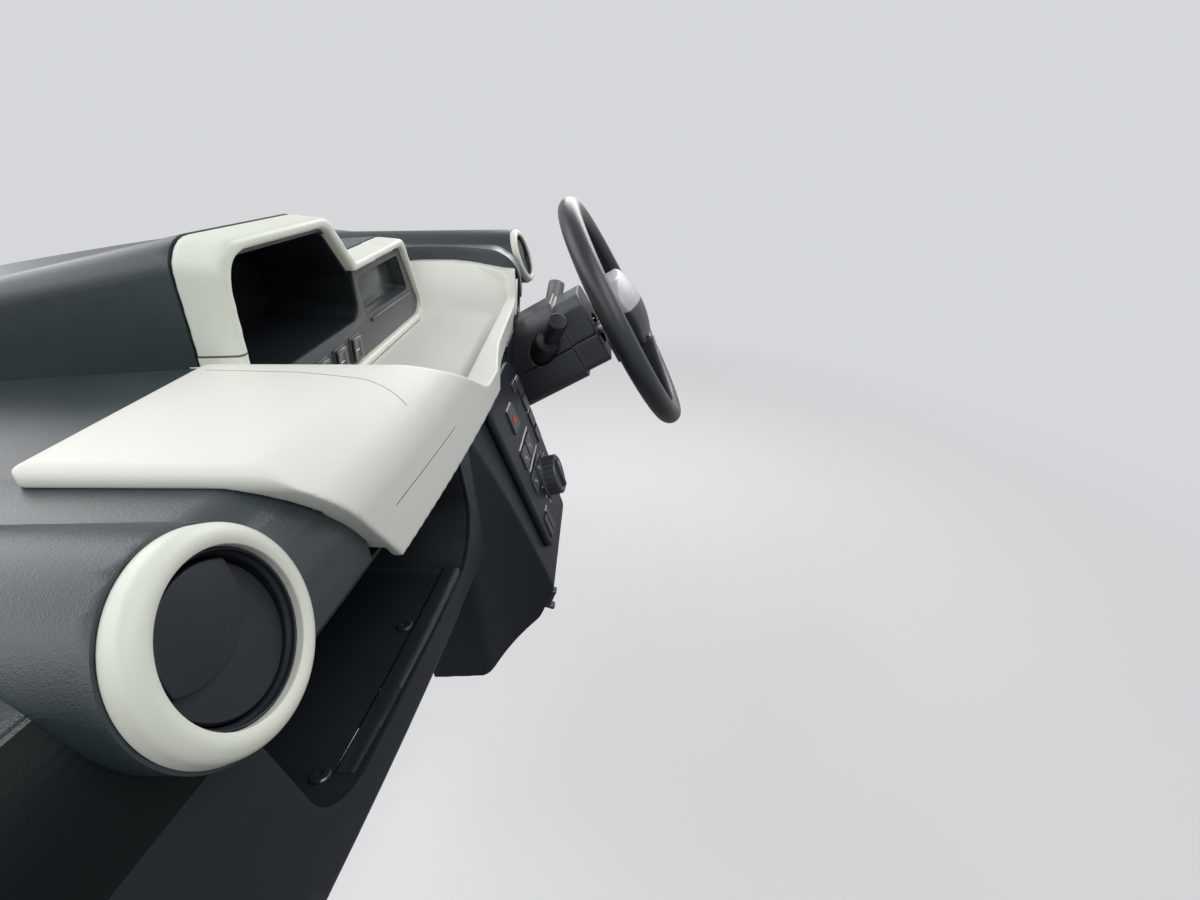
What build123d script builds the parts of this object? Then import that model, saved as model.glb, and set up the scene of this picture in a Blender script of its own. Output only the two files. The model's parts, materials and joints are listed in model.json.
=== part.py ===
"""Dashboard of a microcar with its steering wheel and column, right-hand drive.

Millimetres. X to the car's right, Y forward to the windscreen, Z up.
X = 0 is the car's centre. The origin is the middle of the four bolts of the cowl bracket,
on the face that meets the car's bulkhead.
"""

import math
import os

from build123d import *

# Dash as a whole
HALF_WIDTH = 540
BOW_RADIUS = 3000
REAR_Y = -420
DECK_Z = 201
GLASS_Z = 229
GLASS_Y = 165
GLASS_CORNER_Y = 112
SKIN = 3
SEAM_Z = 128
SEAT_GAP = 0.3

# Nose of the dark upper moulding
NOSE_SET_IN = 11
NOSE_RADIUS = 46
DECK_FLAT_FRONT_Y = -110

# Cream cover over the passenger's airbag
COVER_RISE = 11
COVER_FRONT_Y = -243
COVER_LEFT_X = -366
COVER_TIP_X = -312
COVER_RIDGE_X = -214
COVER_LAP = 16
COVER_EDGE = 9

# Cream tray in front of the driver
TRAY_REAR_Y = -405
TRAY_FLOOR_Z = 124
TRAY_RIM_Z = 180
TRAY_LIP_Z = 142
TRAY_RIGHT_X = 368
TRAY_FRONT_Y = -190
TRAY_SKIRT_Z = 118
TRAY_SCOOP_RADIUS = 160
TRAY_RIM_WIDTH = 12

# Hood with the open pocket and the meter
HOOD_LEFT_X = -207
HOOD_RIGHT_X = 229
HOOD_TOP_Z = 289
HOOD_FRONT_Y = -264
HOOD_LEAN = 5
HOOD_RING_DEPTH = 36
HOOD_RING_WIDTH = 9.5
METER_TOP_Z = 241
HOOD_STEP_X = 8
HOOD_END_Y = 92
HOOD_END_FLARE = 62
POCKET_DEPTH = 100
POCKET_FLOOR_Z = 177
POCKET_WALL = 2
MOUTH_EDGE = 3.5
FASCIA_SET_IN = 7
FASCIA_THICKNESS = 3

# Round vents
VENT_X = 430
VENT_Y = -380
VENT_Z = 175
VENT_TOE = 4.3
VENT_TILT = 16
VENT_RING_RADIUS = 46.3
VENT_MOUTH_RADIUS = 35.6
VENT_RING_PROUD = 8.4
VENT_RING_SEAT = -2
VENT_SLEEVE_DEPTH = 56
VENT_SLEEVE_WALL = 2.4
VENT_FLAP_TURN = 14
POD_RADIUS = 47.5
POD_END_RADIUS = 40
POD_END_Y = 95
POD_END_Z = 190

# Passenger's shelf and lower panel
LIP_TOP_Z = 15
LIP_BOTTOM_Z = -22
LIP_Y = -412
SHELF_LEFT_X = -442
SHELF_RIGHT_X = -172
SHELF_BACK_Y = -268
KICK_Y = -350
KICK_Z = -128

# Centre stack
STACK_LEAN = 16
STACK_TOP_Y = -398
STACK_TOP_Z = 116
STACK_LENGTH = 262
STACK_HALF_WIDTH = 88
STACK_FLARE_X = -152
STACK_DEPTH = 150
PANEL_LEFT_X = -81
PANEL_RIGHT_X = 84
PANEL_LENGTH = 224
PANEL_THICKNESS = 9
DIAL_RADIUS = 26
DIAL_HEIGHT = 20
DIAL_X = 26
DIAL_DOWN = 168

# Steering wheel and column
WHEEL_X = 220
WHEEL_Y = -562
WHEEL_Z = 126
COLUMN_ANGLE = 28.4
RIM_RADIUS = 166
RIM_SECTION = 15.5
SHAFT_RADIUS = 10
SHAFT_FIT = 0.05
SHAFT_LENGTH = 475
SHAFT_END_RADIUS = 9
SHAFT_END_LENGTH = 44
HUB_FRONT = 6
HUB_RADIUS = 30
HUB_DEPTH = 28
SPOKE_THICKNESS = 12
PAD_DEPTH = 40
PAD_DOME_RADIUS = 130
PAD_LOW = 44
PAD_HIGH = 60
JACKET_RADIUS = 24
JACKET_START = 60
JACKET_LENGTH = 340
SHROUD_START = 43
SHROUD_LENGTH = 150
SHROUD_NECK = 41
SHROUD_NECK_SET_IN = 7
SHROUD_WIDTH = 116
SHROUD_TOP = 74
SHROUD_BOTTOM = 48
SHROUD_SPLIT = 6
COLUMN_GAP = 5
STALK_ALONG = 132
STALK_LIFT = 17
STALK_ROOT = 16
STALK_ROOT_MORE = 4.5
STALK_LENGTH = 96
STALK_KNOB_RADIUS = 13.5
# Left and right stalk's sweep as (out, up, back)
STALK_SWEEP = {-1: (0.70, 0.50, 0.70), 1: (0.62, 0.60, 0.50)}

# Cross-car beam and its brackets
BEAM_Y = -200
BEAM_RADIUS = 25
BEAM_WALL = 2
STRUT_THICKNESS = 5
STRUT_INNER_X = 330
STRUT_END_GAP = 40
END_SET_IN = 8
END_PLATE = 6
END_PLATE_HEIGHT = 110
END_PLATE_DEPTH = 90
END_BOLT_Y = 60
END_BOLT_Z = 80
END_BOLT_RADIUS = 4.5
COWL_PLATE = 5
COWL_BOLT_X = 80
COWL_BOLT_Z = 50
COWL_BOLT_RADIUS = 4.5

# Heater and its ducts
HEATER_TOP_Z = -(COWL_BOLT_Z + 36) / 2 - SEAT_GAP
HEATER_HEIGHT = 180
HEATER_HALF_WIDTH = 140
DUCT_FRONT_Y = -62
DUCT_DEPTH = 62
DUCT_RISER_X = 62
DUCT_LOW_Z = 132
DUCT_HEIGHT = 48

AXIS_OF_BOW = Axis((0, REAR_Y + BOW_RADIUS, 0), (0, 0, 1))
UP = (0, 0, 1)


def outline(rows, plane):
    """Closed face on a plane, from rows of (across, up, corner radius)."""
    points = [plane.from_local_coords((a, b, 0)) for a, b, _ in rows]
    return make_face(FilletPolyline(*points, radius=[r for _, _, r in rows], close=True))


def side(rows, x=0):
    """Face in a fore-and-aft plane, from rows of (Y, Z, corner radius)."""
    return outline(rows, Plane.YZ.offset(x))


def front(rows, y=0):
    """Face in a crosswise plane, from rows of (X, Z, corner radius)."""
    return outline(rows, Plane.XZ.offset(-y))


def plan(rows, z=0):
    """Face in a level plane, from rows of (X, Y, corner radius)."""
    return outline(rows, Plane.XY.offset(z))


def slab(x0, x1, y0=-900, y1=600, z0=-600, z1=600):
    """Box between two X values, and between Y and Z values where given."""
    return Box(x1 - x0, y1 - y0, z1 - z0).moved(Location(((x0 + x1) / 2, (y0 + y1) / 2, (z0 + z1) / 2)))


def across(rows, x0, x1):
    """Side profile carried straight across the car from x0 to x1."""
    return extrude(side(rows, x0), amount=x1 - x0, dir=(1, 0, 0))


def bowed(rows, x0, x1):
    """Side profile, given at the car's centre, carried round the bow and trimmed at x0 and x1."""
    reach = max(abs(x0), abs(x1)) + 40
    half = math.degrees(math.asin(reach / (BOW_RADIUS - 620)))
    start = side(rows).rotate(AXIS_OF_BOW, half)
    return revolve(start, AXIS_OF_BOW, -2 * half) & slab(x0, x1)


def bow_shift(x):
    """How far forward the bow carries the rear edge at x."""
    return BOW_RADIUS - math.sqrt(BOW_RADIUS**2 - x**2)


def column_plane(along):
    """Plane square to the steering column, its normal pointing up the column to the driver."""
    a = math.radians(COLUMN_ANGLE)
    down = Vector(0, math.cos(a), -math.sin(a))
    centre = Vector(WHEEL_X, WHEEL_Y, WHEEL_Z) + down * along
    return Plane(origin=centre, x_dir=(1, 0, 0), z_dir=-down)


def vent_plane(sign, proud=0):
    """Plane of a vent ring's back, sign -1 for the left vent and 1 for the right."""
    toe = math.radians(VENT_TOE)
    tilt = math.radians(VENT_TILT)
    normal = Vector(-sign * math.sin(toe) * math.cos(tilt), -math.cos(toe) * math.cos(tilt), math.sin(tilt))
    x_dir = Vector(UP).cross(normal)
    return Plane(origin=Vector(sign * VENT_X, VENT_Y, VENT_Z) + normal * proud, x_dir=x_dir, z_dir=normal)


def dash_plan():
    """The dash seen from above, as a tall prism."""
    rear = REAR_Y - 60
    glass = ThreePointArc((-HALF_WIDTH, GLASS_CORNER_Y), (0, GLASS_Y), (HALF_WIDTH, GLASS_CORNER_Y))
    sides = Polyline((HALF_WIDTH, GLASS_CORNER_Y), (HALF_WIDTH, rear), (-HALF_WIDTH, rear),
                     (-HALF_WIDTH, GLASS_CORNER_Y))
    return extrude(make_face([glass, sides]), amount=1200).moved(Location((0, 0, -600)))


def deck_rows(set_in):
    """Side profile of the upper moulding, set in from its outer face, open at the bottom."""
    face_y = REAR_Y + NOSE_SET_IN + set_in
    top = DECK_Z - set_in
    return [
        (GLASS_Y + 90, GLASS_Z + 8 - set_in, 0),
        (DECK_FLAT_FRONT_Y, top, 400),
        (face_y, top, NOSE_RADIUS - set_in),
        (face_y, SEAM_Z, 0),
    ]


def deck_fill(depth=100):
    """Everything under the upper moulding's outer face, down to a depth below its seam."""
    rows = deck_rows(0)
    rows[-1] = (rows[-1][0], SEAM_Z - depth, 0)
    return bowed(rows + [(GLASS_Y + 90, SEAM_Z - depth, 0)], -HALF_WIDTH - 5, HALF_WIDTH + 5)


def hood_rows(grow=0.0):
    """Front outline of the hood, two bays with a step, grown by an offset."""
    g = grow
    return [
        (HOOD_LEFT_X + 3 - g, HOOD_TOP_Z + g, 24),
        (HOOD_STEP_X - 46 + g * 0.6, HOOD_TOP_Z + g, 26),
        (HOOD_STEP_X + 2 + g * 0.6, METER_TOP_Z - 2 + g, 4),
        (161 + g * 0.8, METER_TOP_Z + 2 + g, 16),
        (HOOD_RIGHT_X + g, SEAM_Z + 4 - g, 14),
        (196, TRAY_FLOOR_Z - 2 - g, 8),
        (HOOD_LEFT_X - g, TRAY_FLOOR_Z - 2 - g, 0),
    ]


def hood_plane(back=0.0):
    """Leaning plane of the hood's mouth, moved forward into the dash by a distance."""
    a = math.radians(HOOD_LEAN)
    normal = Vector(0, -math.cos(a), -math.sin(a))
    origin = Vector(0, HOOD_FRONT_Y, (HOOD_TOP_Z + SEAM_Z) / 2) - normal * back
    return Plane(origin=origin, x_dir=(1, 0, 0), z_dir=normal)


def on_hood(rows, back=0.0):
    """Face on the hood's mouth plane, from rows of (X, Z, corner radius)."""
    middle = (HOOD_TOP_Z + SEAM_Z) / 2
    return outline([(x, z - middle, r) for x, z, r in rows], hood_plane(back))


def into_hood(face, depth):
    """Prism from a face on the hood's mouth plane, forward into the dash."""
    return extrude(face, amount=depth, dir=-hood_plane().z_dir)


def down_column(face, depth):
    """Prism from a face square to the column, down the column."""
    return extrude(face, amount=depth, dir=-column_plane(0).z_dir)


def off_stack(face, height):
    """Prism from a face on the centre stack, out towards the seats."""
    return extrude(face, amount=height, dir=stack_plane().z_dir)


def dash_shell():
    """Dark upper moulding: deck, nose and upper face, open under the cream panel and hood."""
    rows = deck_rows(0) + deck_rows(SKIN)[::-1]
    shell = bowed(rows, -HALF_WIDTH, HALF_WIDTH) & dash_plan()
    opening = plan([
        (COVER_LEFT_X + COVER_LAP, COVER_FRONT_Y - COVER_LAP, 6),
        (HOOD_RIGHT_X, COVER_FRONT_Y - COVER_LAP, 0),
        (HOOD_RIGHT_X, REAR_Y - 60, 0),
        (COVER_TIP_X + 30, REAR_Y - 60, 0),
        (COVER_LEFT_X + COVER_LAP, REAR_Y + 62, 0),
    ], DECK_Z - 120)
    well = tray_prism(SEAT_GAP + SKIN) & slab(HOOD_RIGHT_X - 80, HALF_WIDTH, z0=TRAY_RIM_Z - 14)
    shell += well & deck_fill(0)
    shell -= extrude(opening, amount=160) + tray_prism(SEAT_GAP)
    shell -= cream_solid(-SEAT_GAP) & slab(COVER_LEFT_X + COVER_LAP, HOOD_LEFT_X, y1=REAR_Y + NOSE_RADIUS + 6)
    shell -= hood_bay(SEAT_GAP, HOOD_RING_DEPTH + SEAT_GAP)
    shell -= hood_bay(-HOOD_RING_WIDTH + SKIN, FASCIA_SET_IN + POCKET_DEPTH + 20)
    ends = deck_fill(0) - bowed(deck_rows(0) + [(GLASS_Y + 90, SEAM_Z, 0)], -HALF_WIDTH + SKIN, HALF_WIDTH - SKIN)
    shell += ends & dash_plan() & slab(-HALF_WIDTH, HALF_WIDTH, y1=GLASS_CORNER_Y)
    for sign in (-1, 1):
        mouth = vent_plane(sign)
        bore = extrude(mouth * Circle(VENT_MOUTH_RADIUS + SKIN), amount=-VENT_SLEEVE_DEPTH - 12)
        seat = vent_plane(sign, VENT_RING_SEAT - SEAT_GAP)
        shell -= bore + extrude(seat * Circle(VENT_RING_RADIUS + SEAT_GAP), amount=40)
    return shell


def vent_pod(sign):
    """Half-sunk tube that runs forward from a vent ring and dives into the deck."""
    mouth = vent_plane(sign, VENT_RING_SEAT)
    end = Plane(origin=(sign * (VENT_X + 6), POD_END_Y, POD_END_Z - 16), x_dir=(sign, 0, 0), z_dir=(0, -1, 0))
    mouth = Plane(origin=mouth.origin, x_dir=(sign, 0, 0), z_dir=mouth.z_dir)
    tubes = [
        loft([mouth * Circle(POD_RADIUS - cut), end * Circle(POD_END_RADIUS - cut)])
        for cut in (0, SKIN)
    ]
    return tubes[0] - tubes[1] - deck_fill()


def vent_section(sign, rows):
    """Ring turned about a vent's axis, from rows of (radius, height above the plane, corner radius)."""
    base = vent_plane(sign)
    section = Plane(origin=base.origin, x_dir=base.x_dir, z_dir=base.x_dir.cross(base.z_dir))
    return revolve(outline(rows, section), Axis(base.origin, base.z_dir), 360)


def vent_ring(sign):
    """Cream trim ring, proud and rounded towards its mouth."""
    return vent_section(sign, [
        (VENT_MOUTH_RADIUS, VENT_RING_SEAT - 8, 0),
        (VENT_MOUTH_RADIUS + SKIN - SEAT_GAP, VENT_RING_SEAT - 8, 0),
        (VENT_MOUTH_RADIUS + SKIN - SEAT_GAP, VENT_RING_SEAT, 0),
        (VENT_RING_RADIUS, VENT_RING_SEAT, 0),
        (VENT_RING_RADIUS - 1, VENT_RING_PROUD - 2, 5),
        (VENT_MOUTH_RADIUS + 4, VENT_RING_PROUD + 1, 6),
        (VENT_MOUTH_RADIUS, VENT_RING_PROUD - 1, 1),
    ])


def vent_sleeve(sign):
    """Black barrel inside the ring, with a stepped edge."""
    outer = VENT_MOUTH_RADIUS - SEAT_GAP
    return vent_section(sign, [
        (outer, VENT_RING_PROUD - 4, 0),
        (outer, -VENT_SLEEVE_DEPTH, 0),
        (outer - VENT_SLEEVE_WALL, -VENT_SLEEVE_DEPTH, 0),
        (outer - VENT_SLEEVE_WALL, VENT_RING_PROUD - 8, 0),
        (outer - VENT_SLEEVE_WALL / 2, VENT_RING_PROUD - 6, 0),
        (outer - VENT_SLEEVE_WALL / 2, VENT_RING_PROUD - 4, 0),
    ])


def vent_flap(sign):
    """Round air flap on two trunnions, part turned in its sleeve, with a raised crescent below."""
    bore = VENT_MOUTH_RADIUS - SEAT_GAP - VENT_SLEEVE_WALL
    base = vent_plane(sign, -3)
    tilted = base * Rot(-VENT_FLAP_TURN, 0, 0)
    disc = tilted * Cylinder(bore - 2, 3)
    step = tilted * Pos(0, 0, 2.8) * (
        Cylinder(bore - 2, 2.6) - Pos(-sign * 4, bore * 0.72, 0) * Cylinder(bore + 3, 4)
    )
    pin = base * Rot(0, 90, 0) * Cylinder(2, 2 * (bore - SEAT_GAP))
    flats = tilted * Box(2 * bore - 11, 4 * bore, 60)
    return ((disc + step) & flats) + pin


def tray_prism(grow):
    """Tall prism of the driver's tray seen from above, grown all over."""
    rows = [
        (HOOD_LEFT_X, REAR_Y - 60, 0),
        (TRAY_RIGHT_X - 60 + grow, REAR_Y - 60, 0),
        (TRAY_RIGHT_X - 46 + grow, REAR_Y + 50, 60),
        (TRAY_RIGHT_X + grow, REAR_Y + 130, 120),
        (TRAY_RIGHT_X + grow, TRAY_FRONT_Y + grow, 30 + grow),
        (HOOD_LEFT_X, TRAY_FRONT_Y + grow, 0),
    ]
    return extrude(plan(rows), amount=400)


def cream_solid(set_in):
    """Filled form of the cream panel, set in from its outer face all over."""
    rear = REAR_Y + set_in
    top = DECK_Z + COVER_RISE - set_in
    rim = TRAY_RIM_Z - set_in
    lip = TRAY_LIP_Z - set_in
    rows = [
        (TRAY_FRONT_Y - set_in, top, 0),
        (rear, top, NOSE_RADIUS - 4 - set_in),
        (rear, TRAY_SKIRT_Z, 0),
        (TRAY_FRONT_Y - set_in, TRAY_SKIRT_Z, 0),
    ]
    body = bowed(rows, COVER_LEFT_X - 5, TRAY_RIGHT_X + 5)
    low = TRAY_SKIRT_Z - 10
    face = front([
        (COVER_LEFT_X - 6 + set_in, top, COVER_EDGE - set_in),
        (COVER_TIP_X + set_in, low, 0),
        (TRAY_RIGHT_X, low, 0),
        (TRAY_RIGHT_X, rim, 0),
        (TRAY_RIGHT_X - 60, rim - 6, 30),
        (TRAY_RIGHT_X - 120, lip, 60),
        (-100, lip, 60),
        (COVER_RIDGE_X - 8, top, 40),
    ], REAR_Y - 80)
    limit = extrude(face, amount=400, dir=(0, 1, 0))
    limit += slab(HOOD_LEFT_X, TRAY_RIGHT_X, TRAY_FRONT_Y - 90, TRAY_FRONT_Y, low, rim)
    cover = extrude(plan([
        (COVER_LEFT_X - 20, REAR_Y - 60, 0),
        (HOOD_LEFT_X + 10, REAR_Y - 60, 0),
        (HOOD_LEFT_X + 10, COVER_FRONT_Y - set_in, 0),
        (COVER_LEFT_X + set_in, COVER_FRONT_Y - set_in, 12),
        (COVER_LEFT_X + set_in, REAR_Y + 60, 0),
        (COVER_LEFT_X - 20, REAR_Y + 60, 0),
    ]), amount=400)
    cover &= across([
        (REAR_Y - 70, low - 5, 0), (REAR_Y - 70, top, 0),
        (COVER_FRONT_Y - set_in, top, COVER_EDGE - set_in), (COVER_FRONT_Y - set_in, low - 5, 0),
    ], COVER_LEFT_X - 30, HOOD_LEFT_X + 10)
    return body & limit & (cover + tray_prism(-set_in)) & ahead_of_rear(set_in)


def ahead_of_rear(set_in):
    """Everything forward of the cream panel's rear face, which steps forward beside the cover."""
    y = TRAY_REAR_Y + set_in
    return extrude(plan([
        (-HALF_WIDTH, REAR_Y - 60, 0),
        (COVER_LEFT_X - 34, REAR_Y - 60, 0),
        (30, y, 600),
        (WHEEL_X, y + bow_shift(WHEEL_X), 1500),
        (HALF_WIDTH, y + bow_shift(HALF_WIDTH), 0),
        (HALF_WIDTH, 0, 0),
        (-HALF_WIDTH, 0, 0),
    ]), amount=400)


def dish(grow):
    """Hollow in front of the driver, grown all over: steep at the cover, a wide scoop at the right."""
    rear = REAR_Y + 28 - grow
    right = TRAY_RIGHT_X - TRAY_RIM_WIDTH + grow
    floor = TRAY_FLOOR_Z - grow
    face = front([
        (COVER_RIDGE_X + 6 - grow, DECK_Z + 60, 0),
        (COVER_RIDGE_X + 12 - grow, DECK_Z - 4, 10),
        (COVER_RIDGE_X + 62 - grow, floor, 30 + grow),
        (right - 92, floor, TRAY_SCOOP_RADIUS + grow),
        (right, TRAY_RIM_Z + 4, 0),
        (right, DECK_Z + 60, 0),
    ], rear)
    hollow = extrude(face, amount=400, dir=(0, 1, 0))
    seen_from_above = extrude(plan([
        (COVER_LEFT_X, rear, 0),
        (-80, rear, 600),
        (right - 60, TRAY_REAR_Y + 27 - grow, 40),
        (right, REAR_Y + 130, 110),
        (right, TRAY_FRONT_Y - TRAY_RIM_WIDTH + grow, 22),
        (COVER_LEFT_X, TRAY_FRONT_Y - TRAY_RIM_WIDTH + grow, 0),
    ], floor), amount=400)
    foot = seen_from_above.edges().group_by(Axis.Z)[0].filter_by(
        lambda edge: COVER_LEFT_X + 1 < edge.center().X < right - 80)
    return hollow & fillet(foot, 24)


def hood_bay(gap=0.0, depth=260):
    """Everything inside the hood's outline, from its mouth forward."""
    return into_hood(on_hood(hood_rows(gap)), depth)


def top_panel():
    """Cream moulding: airbag cover on the passenger's side and the driver's tray, in one."""
    outer = cream_solid(0) - dish(0)
    inner = cream_solid(SKIN) - dish(SKIN)
    under_cover = deck_fill() & (
        slab(-HALF_WIDTH - 10, COVER_LEFT_X + COVER_LAP)
        + slab(COVER_LEFT_X - 40, HOOD_LEFT_X, COVER_FRONT_Y - COVER_LAP, 400)
    )
    notch = down_column(outline(shroud_rows(COLUMN_GAP), column_plane(20)), 240)
    over_shelf = slab(COVER_LEFT_X - 10, STACK_FLARE_X, REAR_Y + 24, 0, 0, SEAM_Z + SKIN)
    return outer - inner - under_cover - over_shelf - hood_bay(SEAT_GAP) - hood_form(-SEAT_GAP) - notch


def hood_ring():
    """Cream frame round the hood's mouth, its front edges rounded."""
    ring = into_hood(on_hood(hood_rows(0)) - on_hood(hood_rows(-HOOD_RING_WIDTH)), HOOD_RING_DEPTH)
    return ring


def hood_form(cut):
    """Filled form of the tunnel, cut in all over."""
    near = on_hood(hood_rows(-cut), HOOD_RING_DEPTH)
    far_rows = []
    for x, z, r in hood_rows(-cut):
        flare = HOOD_END_FLARE if x < 0 else HOOD_END_FLARE * 0.5
        scaled = x * (1 + flare / abs(HOOD_LEFT_X))
        level = GLASS_Z - 12 - cut + max(0, z - DECK_Z) * 0.08 if z > DECK_Z - 10 else z
        far_rows.append((scaled, level, r * 0.35))
    return loft([near, front(far_rows, HOOD_END_Y)], ruled=True)


def hood_cowl():
    """Dark tunnel behind the ring, which falls and flares forward into the deck."""
    return hood_form(0) - hood_form(SKIN) - deck_fill(300)


def fascia_holes(grow=0.0):
    """Pocket mouth and meter mouth on the fascia, from rows on the hood's mouth plane."""
    g = grow
    edge = HOOD_RING_WIDTH + MOUTH_EDGE - g
    pocket = [
        (HOOD_LEFT_X + edge, POCKET_FLOOR_Z - g, 14),
        (HOOD_LEFT_X + edge + 2, HOOD_TOP_Z - edge, 20),
        (HOOD_STEP_X - 50 + g * 0.5, HOOD_TOP_Z - edge, 20),
        (HOOD_STEP_X + g, METER_TOP_Z - 4, 10),
        (HOOD_STEP_X + 6 + g, POCKET_FLOOR_Z - g, 16),
    ]
    meter = [
        (30 - g, 174 - g, 5),
        (18 - g, 221 + g, 8),
        (146 + g, 223 + g, 10),
        (176 + g, 173 - g, 6),
    ]
    return pocket, meter


def gauge_fascia():
    """Dark plate inside the ring, with the pocket's and the meter's mouths."""
    pocket, meter = fascia_holes()
    face = on_hood(hood_rows(-HOOD_RING_WIDTH - SEAT_GAP), FASCIA_SET_IN)
    face -= on_hood(pocket, FASCIA_SET_IN)
    face -= on_hood(meter, FASCIA_SET_IN)
    return into_hood(face, FASCIA_THICKNESS)


def under_hood(set_in):
    """Room inside the ring and the cowl, a seat's gap off both and set in further."""
    ring = into_hood(on_hood(hood_rows(-HOOD_RING_WIDTH - SEAT_GAP - set_in)), HOOD_RING_DEPTH + 1)
    return ring + hood_form(SKIN + SEAT_GAP + set_in)


def pocket_liner():
    """Deep open pocket in the hood's left bay."""
    back = FASCIA_SET_IN + FASCIA_THICKNESS
    outer = into_hood(on_hood(fascia_holes(POCKET_WALL)[0], back), POCKET_DEPTH)
    inner = into_hood(on_hood(fascia_holes(0)[0], back), POCKET_DEPTH - POCKET_WALL)
    return (outer & under_hood(0)) - (inner & under_hood(POCKET_WALL))


def gauge_case():
    """Meter's sunk case with its walls and back."""
    back = FASCIA_SET_IN + FASCIA_THICKNESS
    outer = into_hood(on_hood(fascia_holes(2)[1], back), 40)
    inner = into_hood(on_hood(fascia_holes(0)[1], back), 14)
    return outer - inner


def gauge_display():
    """Dark display plate on the meter's case."""
    back = FASCIA_SET_IN + FASCIA_THICKNESS + 14
    return into_hood(on_hood(fascia_holes(-3)[1], back - 2), 2)


def rocker_switches():
    """Three rockers on the fascia under the pocket's corner."""
    switches = []
    for x, z in ((-90, 154), (-50, 154), (-8, 154)):
        rows = [(x - 8, z - 11, 2), (x + 8, z - 11, 2), (x + 8, z + 11, 2), (x - 8, z + 11, 2)]
        switches.append(into_hood(on_hood(rows, FASCIA_SET_IN - 4), 4))
    return Compound(children=[s.solid() for s in switches])


def lip_rows(set_in):
    """Side profile of the lower panel, from the seam down over the lip and under."""
    rear = LIP_Y + set_in
    return [
        (rear + 3, SEAM_Z - SEAT_GAP, 0),
        (rear, LIP_TOP_Z, 30),
        (rear, LIP_BOTTOM_Z + set_in, 14 - set_in),
        (rear + 20, LIP_BOTTOM_Z - 10 + set_in, 12),
        (KICK_Y + set_in, KICK_Z, 0),
    ]


def shelf_rows(grow=0.0):
    """Front outline of the passenger's shelf."""
    g = grow
    return [
        (SHELF_LEFT_X - g, SEAM_Z - 6 + g, 6),
        (SHELF_LEFT_X + 16 - g, LIP_TOP_Z - g, 40 + g),
        (SHELF_RIGHT_X + g, LIP_TOP_Z - 4 - g, 50 + g),
        (SHELF_RIGHT_X - 14 + g, SEAM_Z - 6 + g, 8),
    ]


def lip_bar(grow=0.0):
    """Rolled edge of the shelf's lip."""
    g = grow
    rows = [
        (LIP_Y + 1, LIP_TOP_Z + g, 8), (LIP_Y + 20 + g, LIP_TOP_Z + g, 4),
        (LIP_Y + 20 + g, LIP_TOP_Z - 12, 0), (LIP_Y + 1, LIP_TOP_Z - 12, 0),
    ]
    return bowed(rows, SHELF_LEFT_X + 46 - g, SHELF_RIGHT_X - 44 + g)


def lower_panel_left():
    """Passenger's lower panel with the shelf's rounded lip."""
    rows = lip_rows(0) + lip_rows(SKIN)[::-1]
    panel = bowed(rows, -HALF_WIDTH, STACK_FLARE_X - 4)
    cut = shelf_rows()
    cut[0] = (cut[0][0], SEAM_Z + 40, 0)
    cut[-1] = (cut[-1][0], SEAM_Z + 40, 0)
    panel -= extrude(front(cut, REAR_Y - 80), amount=200, dir=(0, 1, 0))
    return panel + lip_bar()


def shelf_tray():
    """Open shelf behind the lip: floor, back, sides and roof."""
    y0 = LIP_Y - 10
    outer = extrude(front(shelf_rows(3), y0), amount=SHELF_BACK_Y - y0, dir=(0, 1, 0))
    inner = extrude(front(shelf_rows(0), y0), amount=SHELF_BACK_Y - 3 - y0, dir=(0, 1, 0))
    fill = lip_rows(SKIN + SEAT_GAP)
    fill = bowed(fill + [(0, KICK_Z, 0), (0, SEAM_Z, 0)], SHELF_LEFT_X - 20, SHELF_RIGHT_X + 20)
    return ((outer - inner) & fill) - lip_bar(SEAT_GAP)


def stack_plane(proud=0.0):
    """Leaning plane of the centre stack's face, origin at the middle of its top edge."""
    a = math.radians(STACK_LEAN)
    normal = Vector(0, -math.cos(a), math.sin(a))
    return Plane(origin=Vector(0, STACK_TOP_Y, STACK_TOP_Z) + normal * proud, x_dir=(1, 0, 0), z_dir=normal)


def stack_solid(cut):
    """Filled form of the centre stack, cut in all over."""
    a = math.radians(STACK_LEAN)
    foot_y = STACK_TOP_Y - STACK_LENGTH * math.sin(a) + cut
    foot_z = STACK_TOP_Z - STACK_LENGTH * math.cos(a)
    top_z = TRAY_FLOOR_Z - SKIN - SEAT_GAP
    rows = [
        (STACK_TOP_Y + (top_z - STACK_TOP_Z) * math.tan(a) + cut, top_z, 0),
        (foot_y, foot_z, 20),
        (foot_y + 20, foot_z - 46 + cut, 26),
        (foot_y + 82, foot_z - 88 + cut, 40),
        (foot_y + STACK_DEPTH, foot_z - 92 + cut, 0),
        (foot_y + STACK_DEPTH, top_z, 0),
    ]
    body = across(rows, STACK_FLARE_X + cut, STACK_HALF_WIDTH + 4 - cut)
    half = STACK_HALF_WIDTH - cut
    rear = REAR_Y - 130
    flank = plan([
        (-half, rear, 0),
        (half, rear, 0),
        (half + 4, -230, 0),
        (STACK_FLARE_X + cut, -230, 0),
        (STACK_FLARE_X + cut, LIP_Y + 22, 16),
        (-half, LIP_Y - 22, 110),
    ], -400)
    return body & extrude(flank, amount=700)


def centre_stack():
    """Moulded surround of the control panel, open towards the bulkhead."""
    hollow = stack_solid(SKIN) + stack_solid(SKIN).moved(Location((0, SKIN + 2, 0)))
    return stack_solid(0) - hollow


def on_stack(rows, proud=0.0):
    """Face on the stack's leaning face, from rows of (across, down from the top, corner radius)."""
    return outline([(x, -d, r) for x, d, r in rows], stack_plane(proud))


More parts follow.
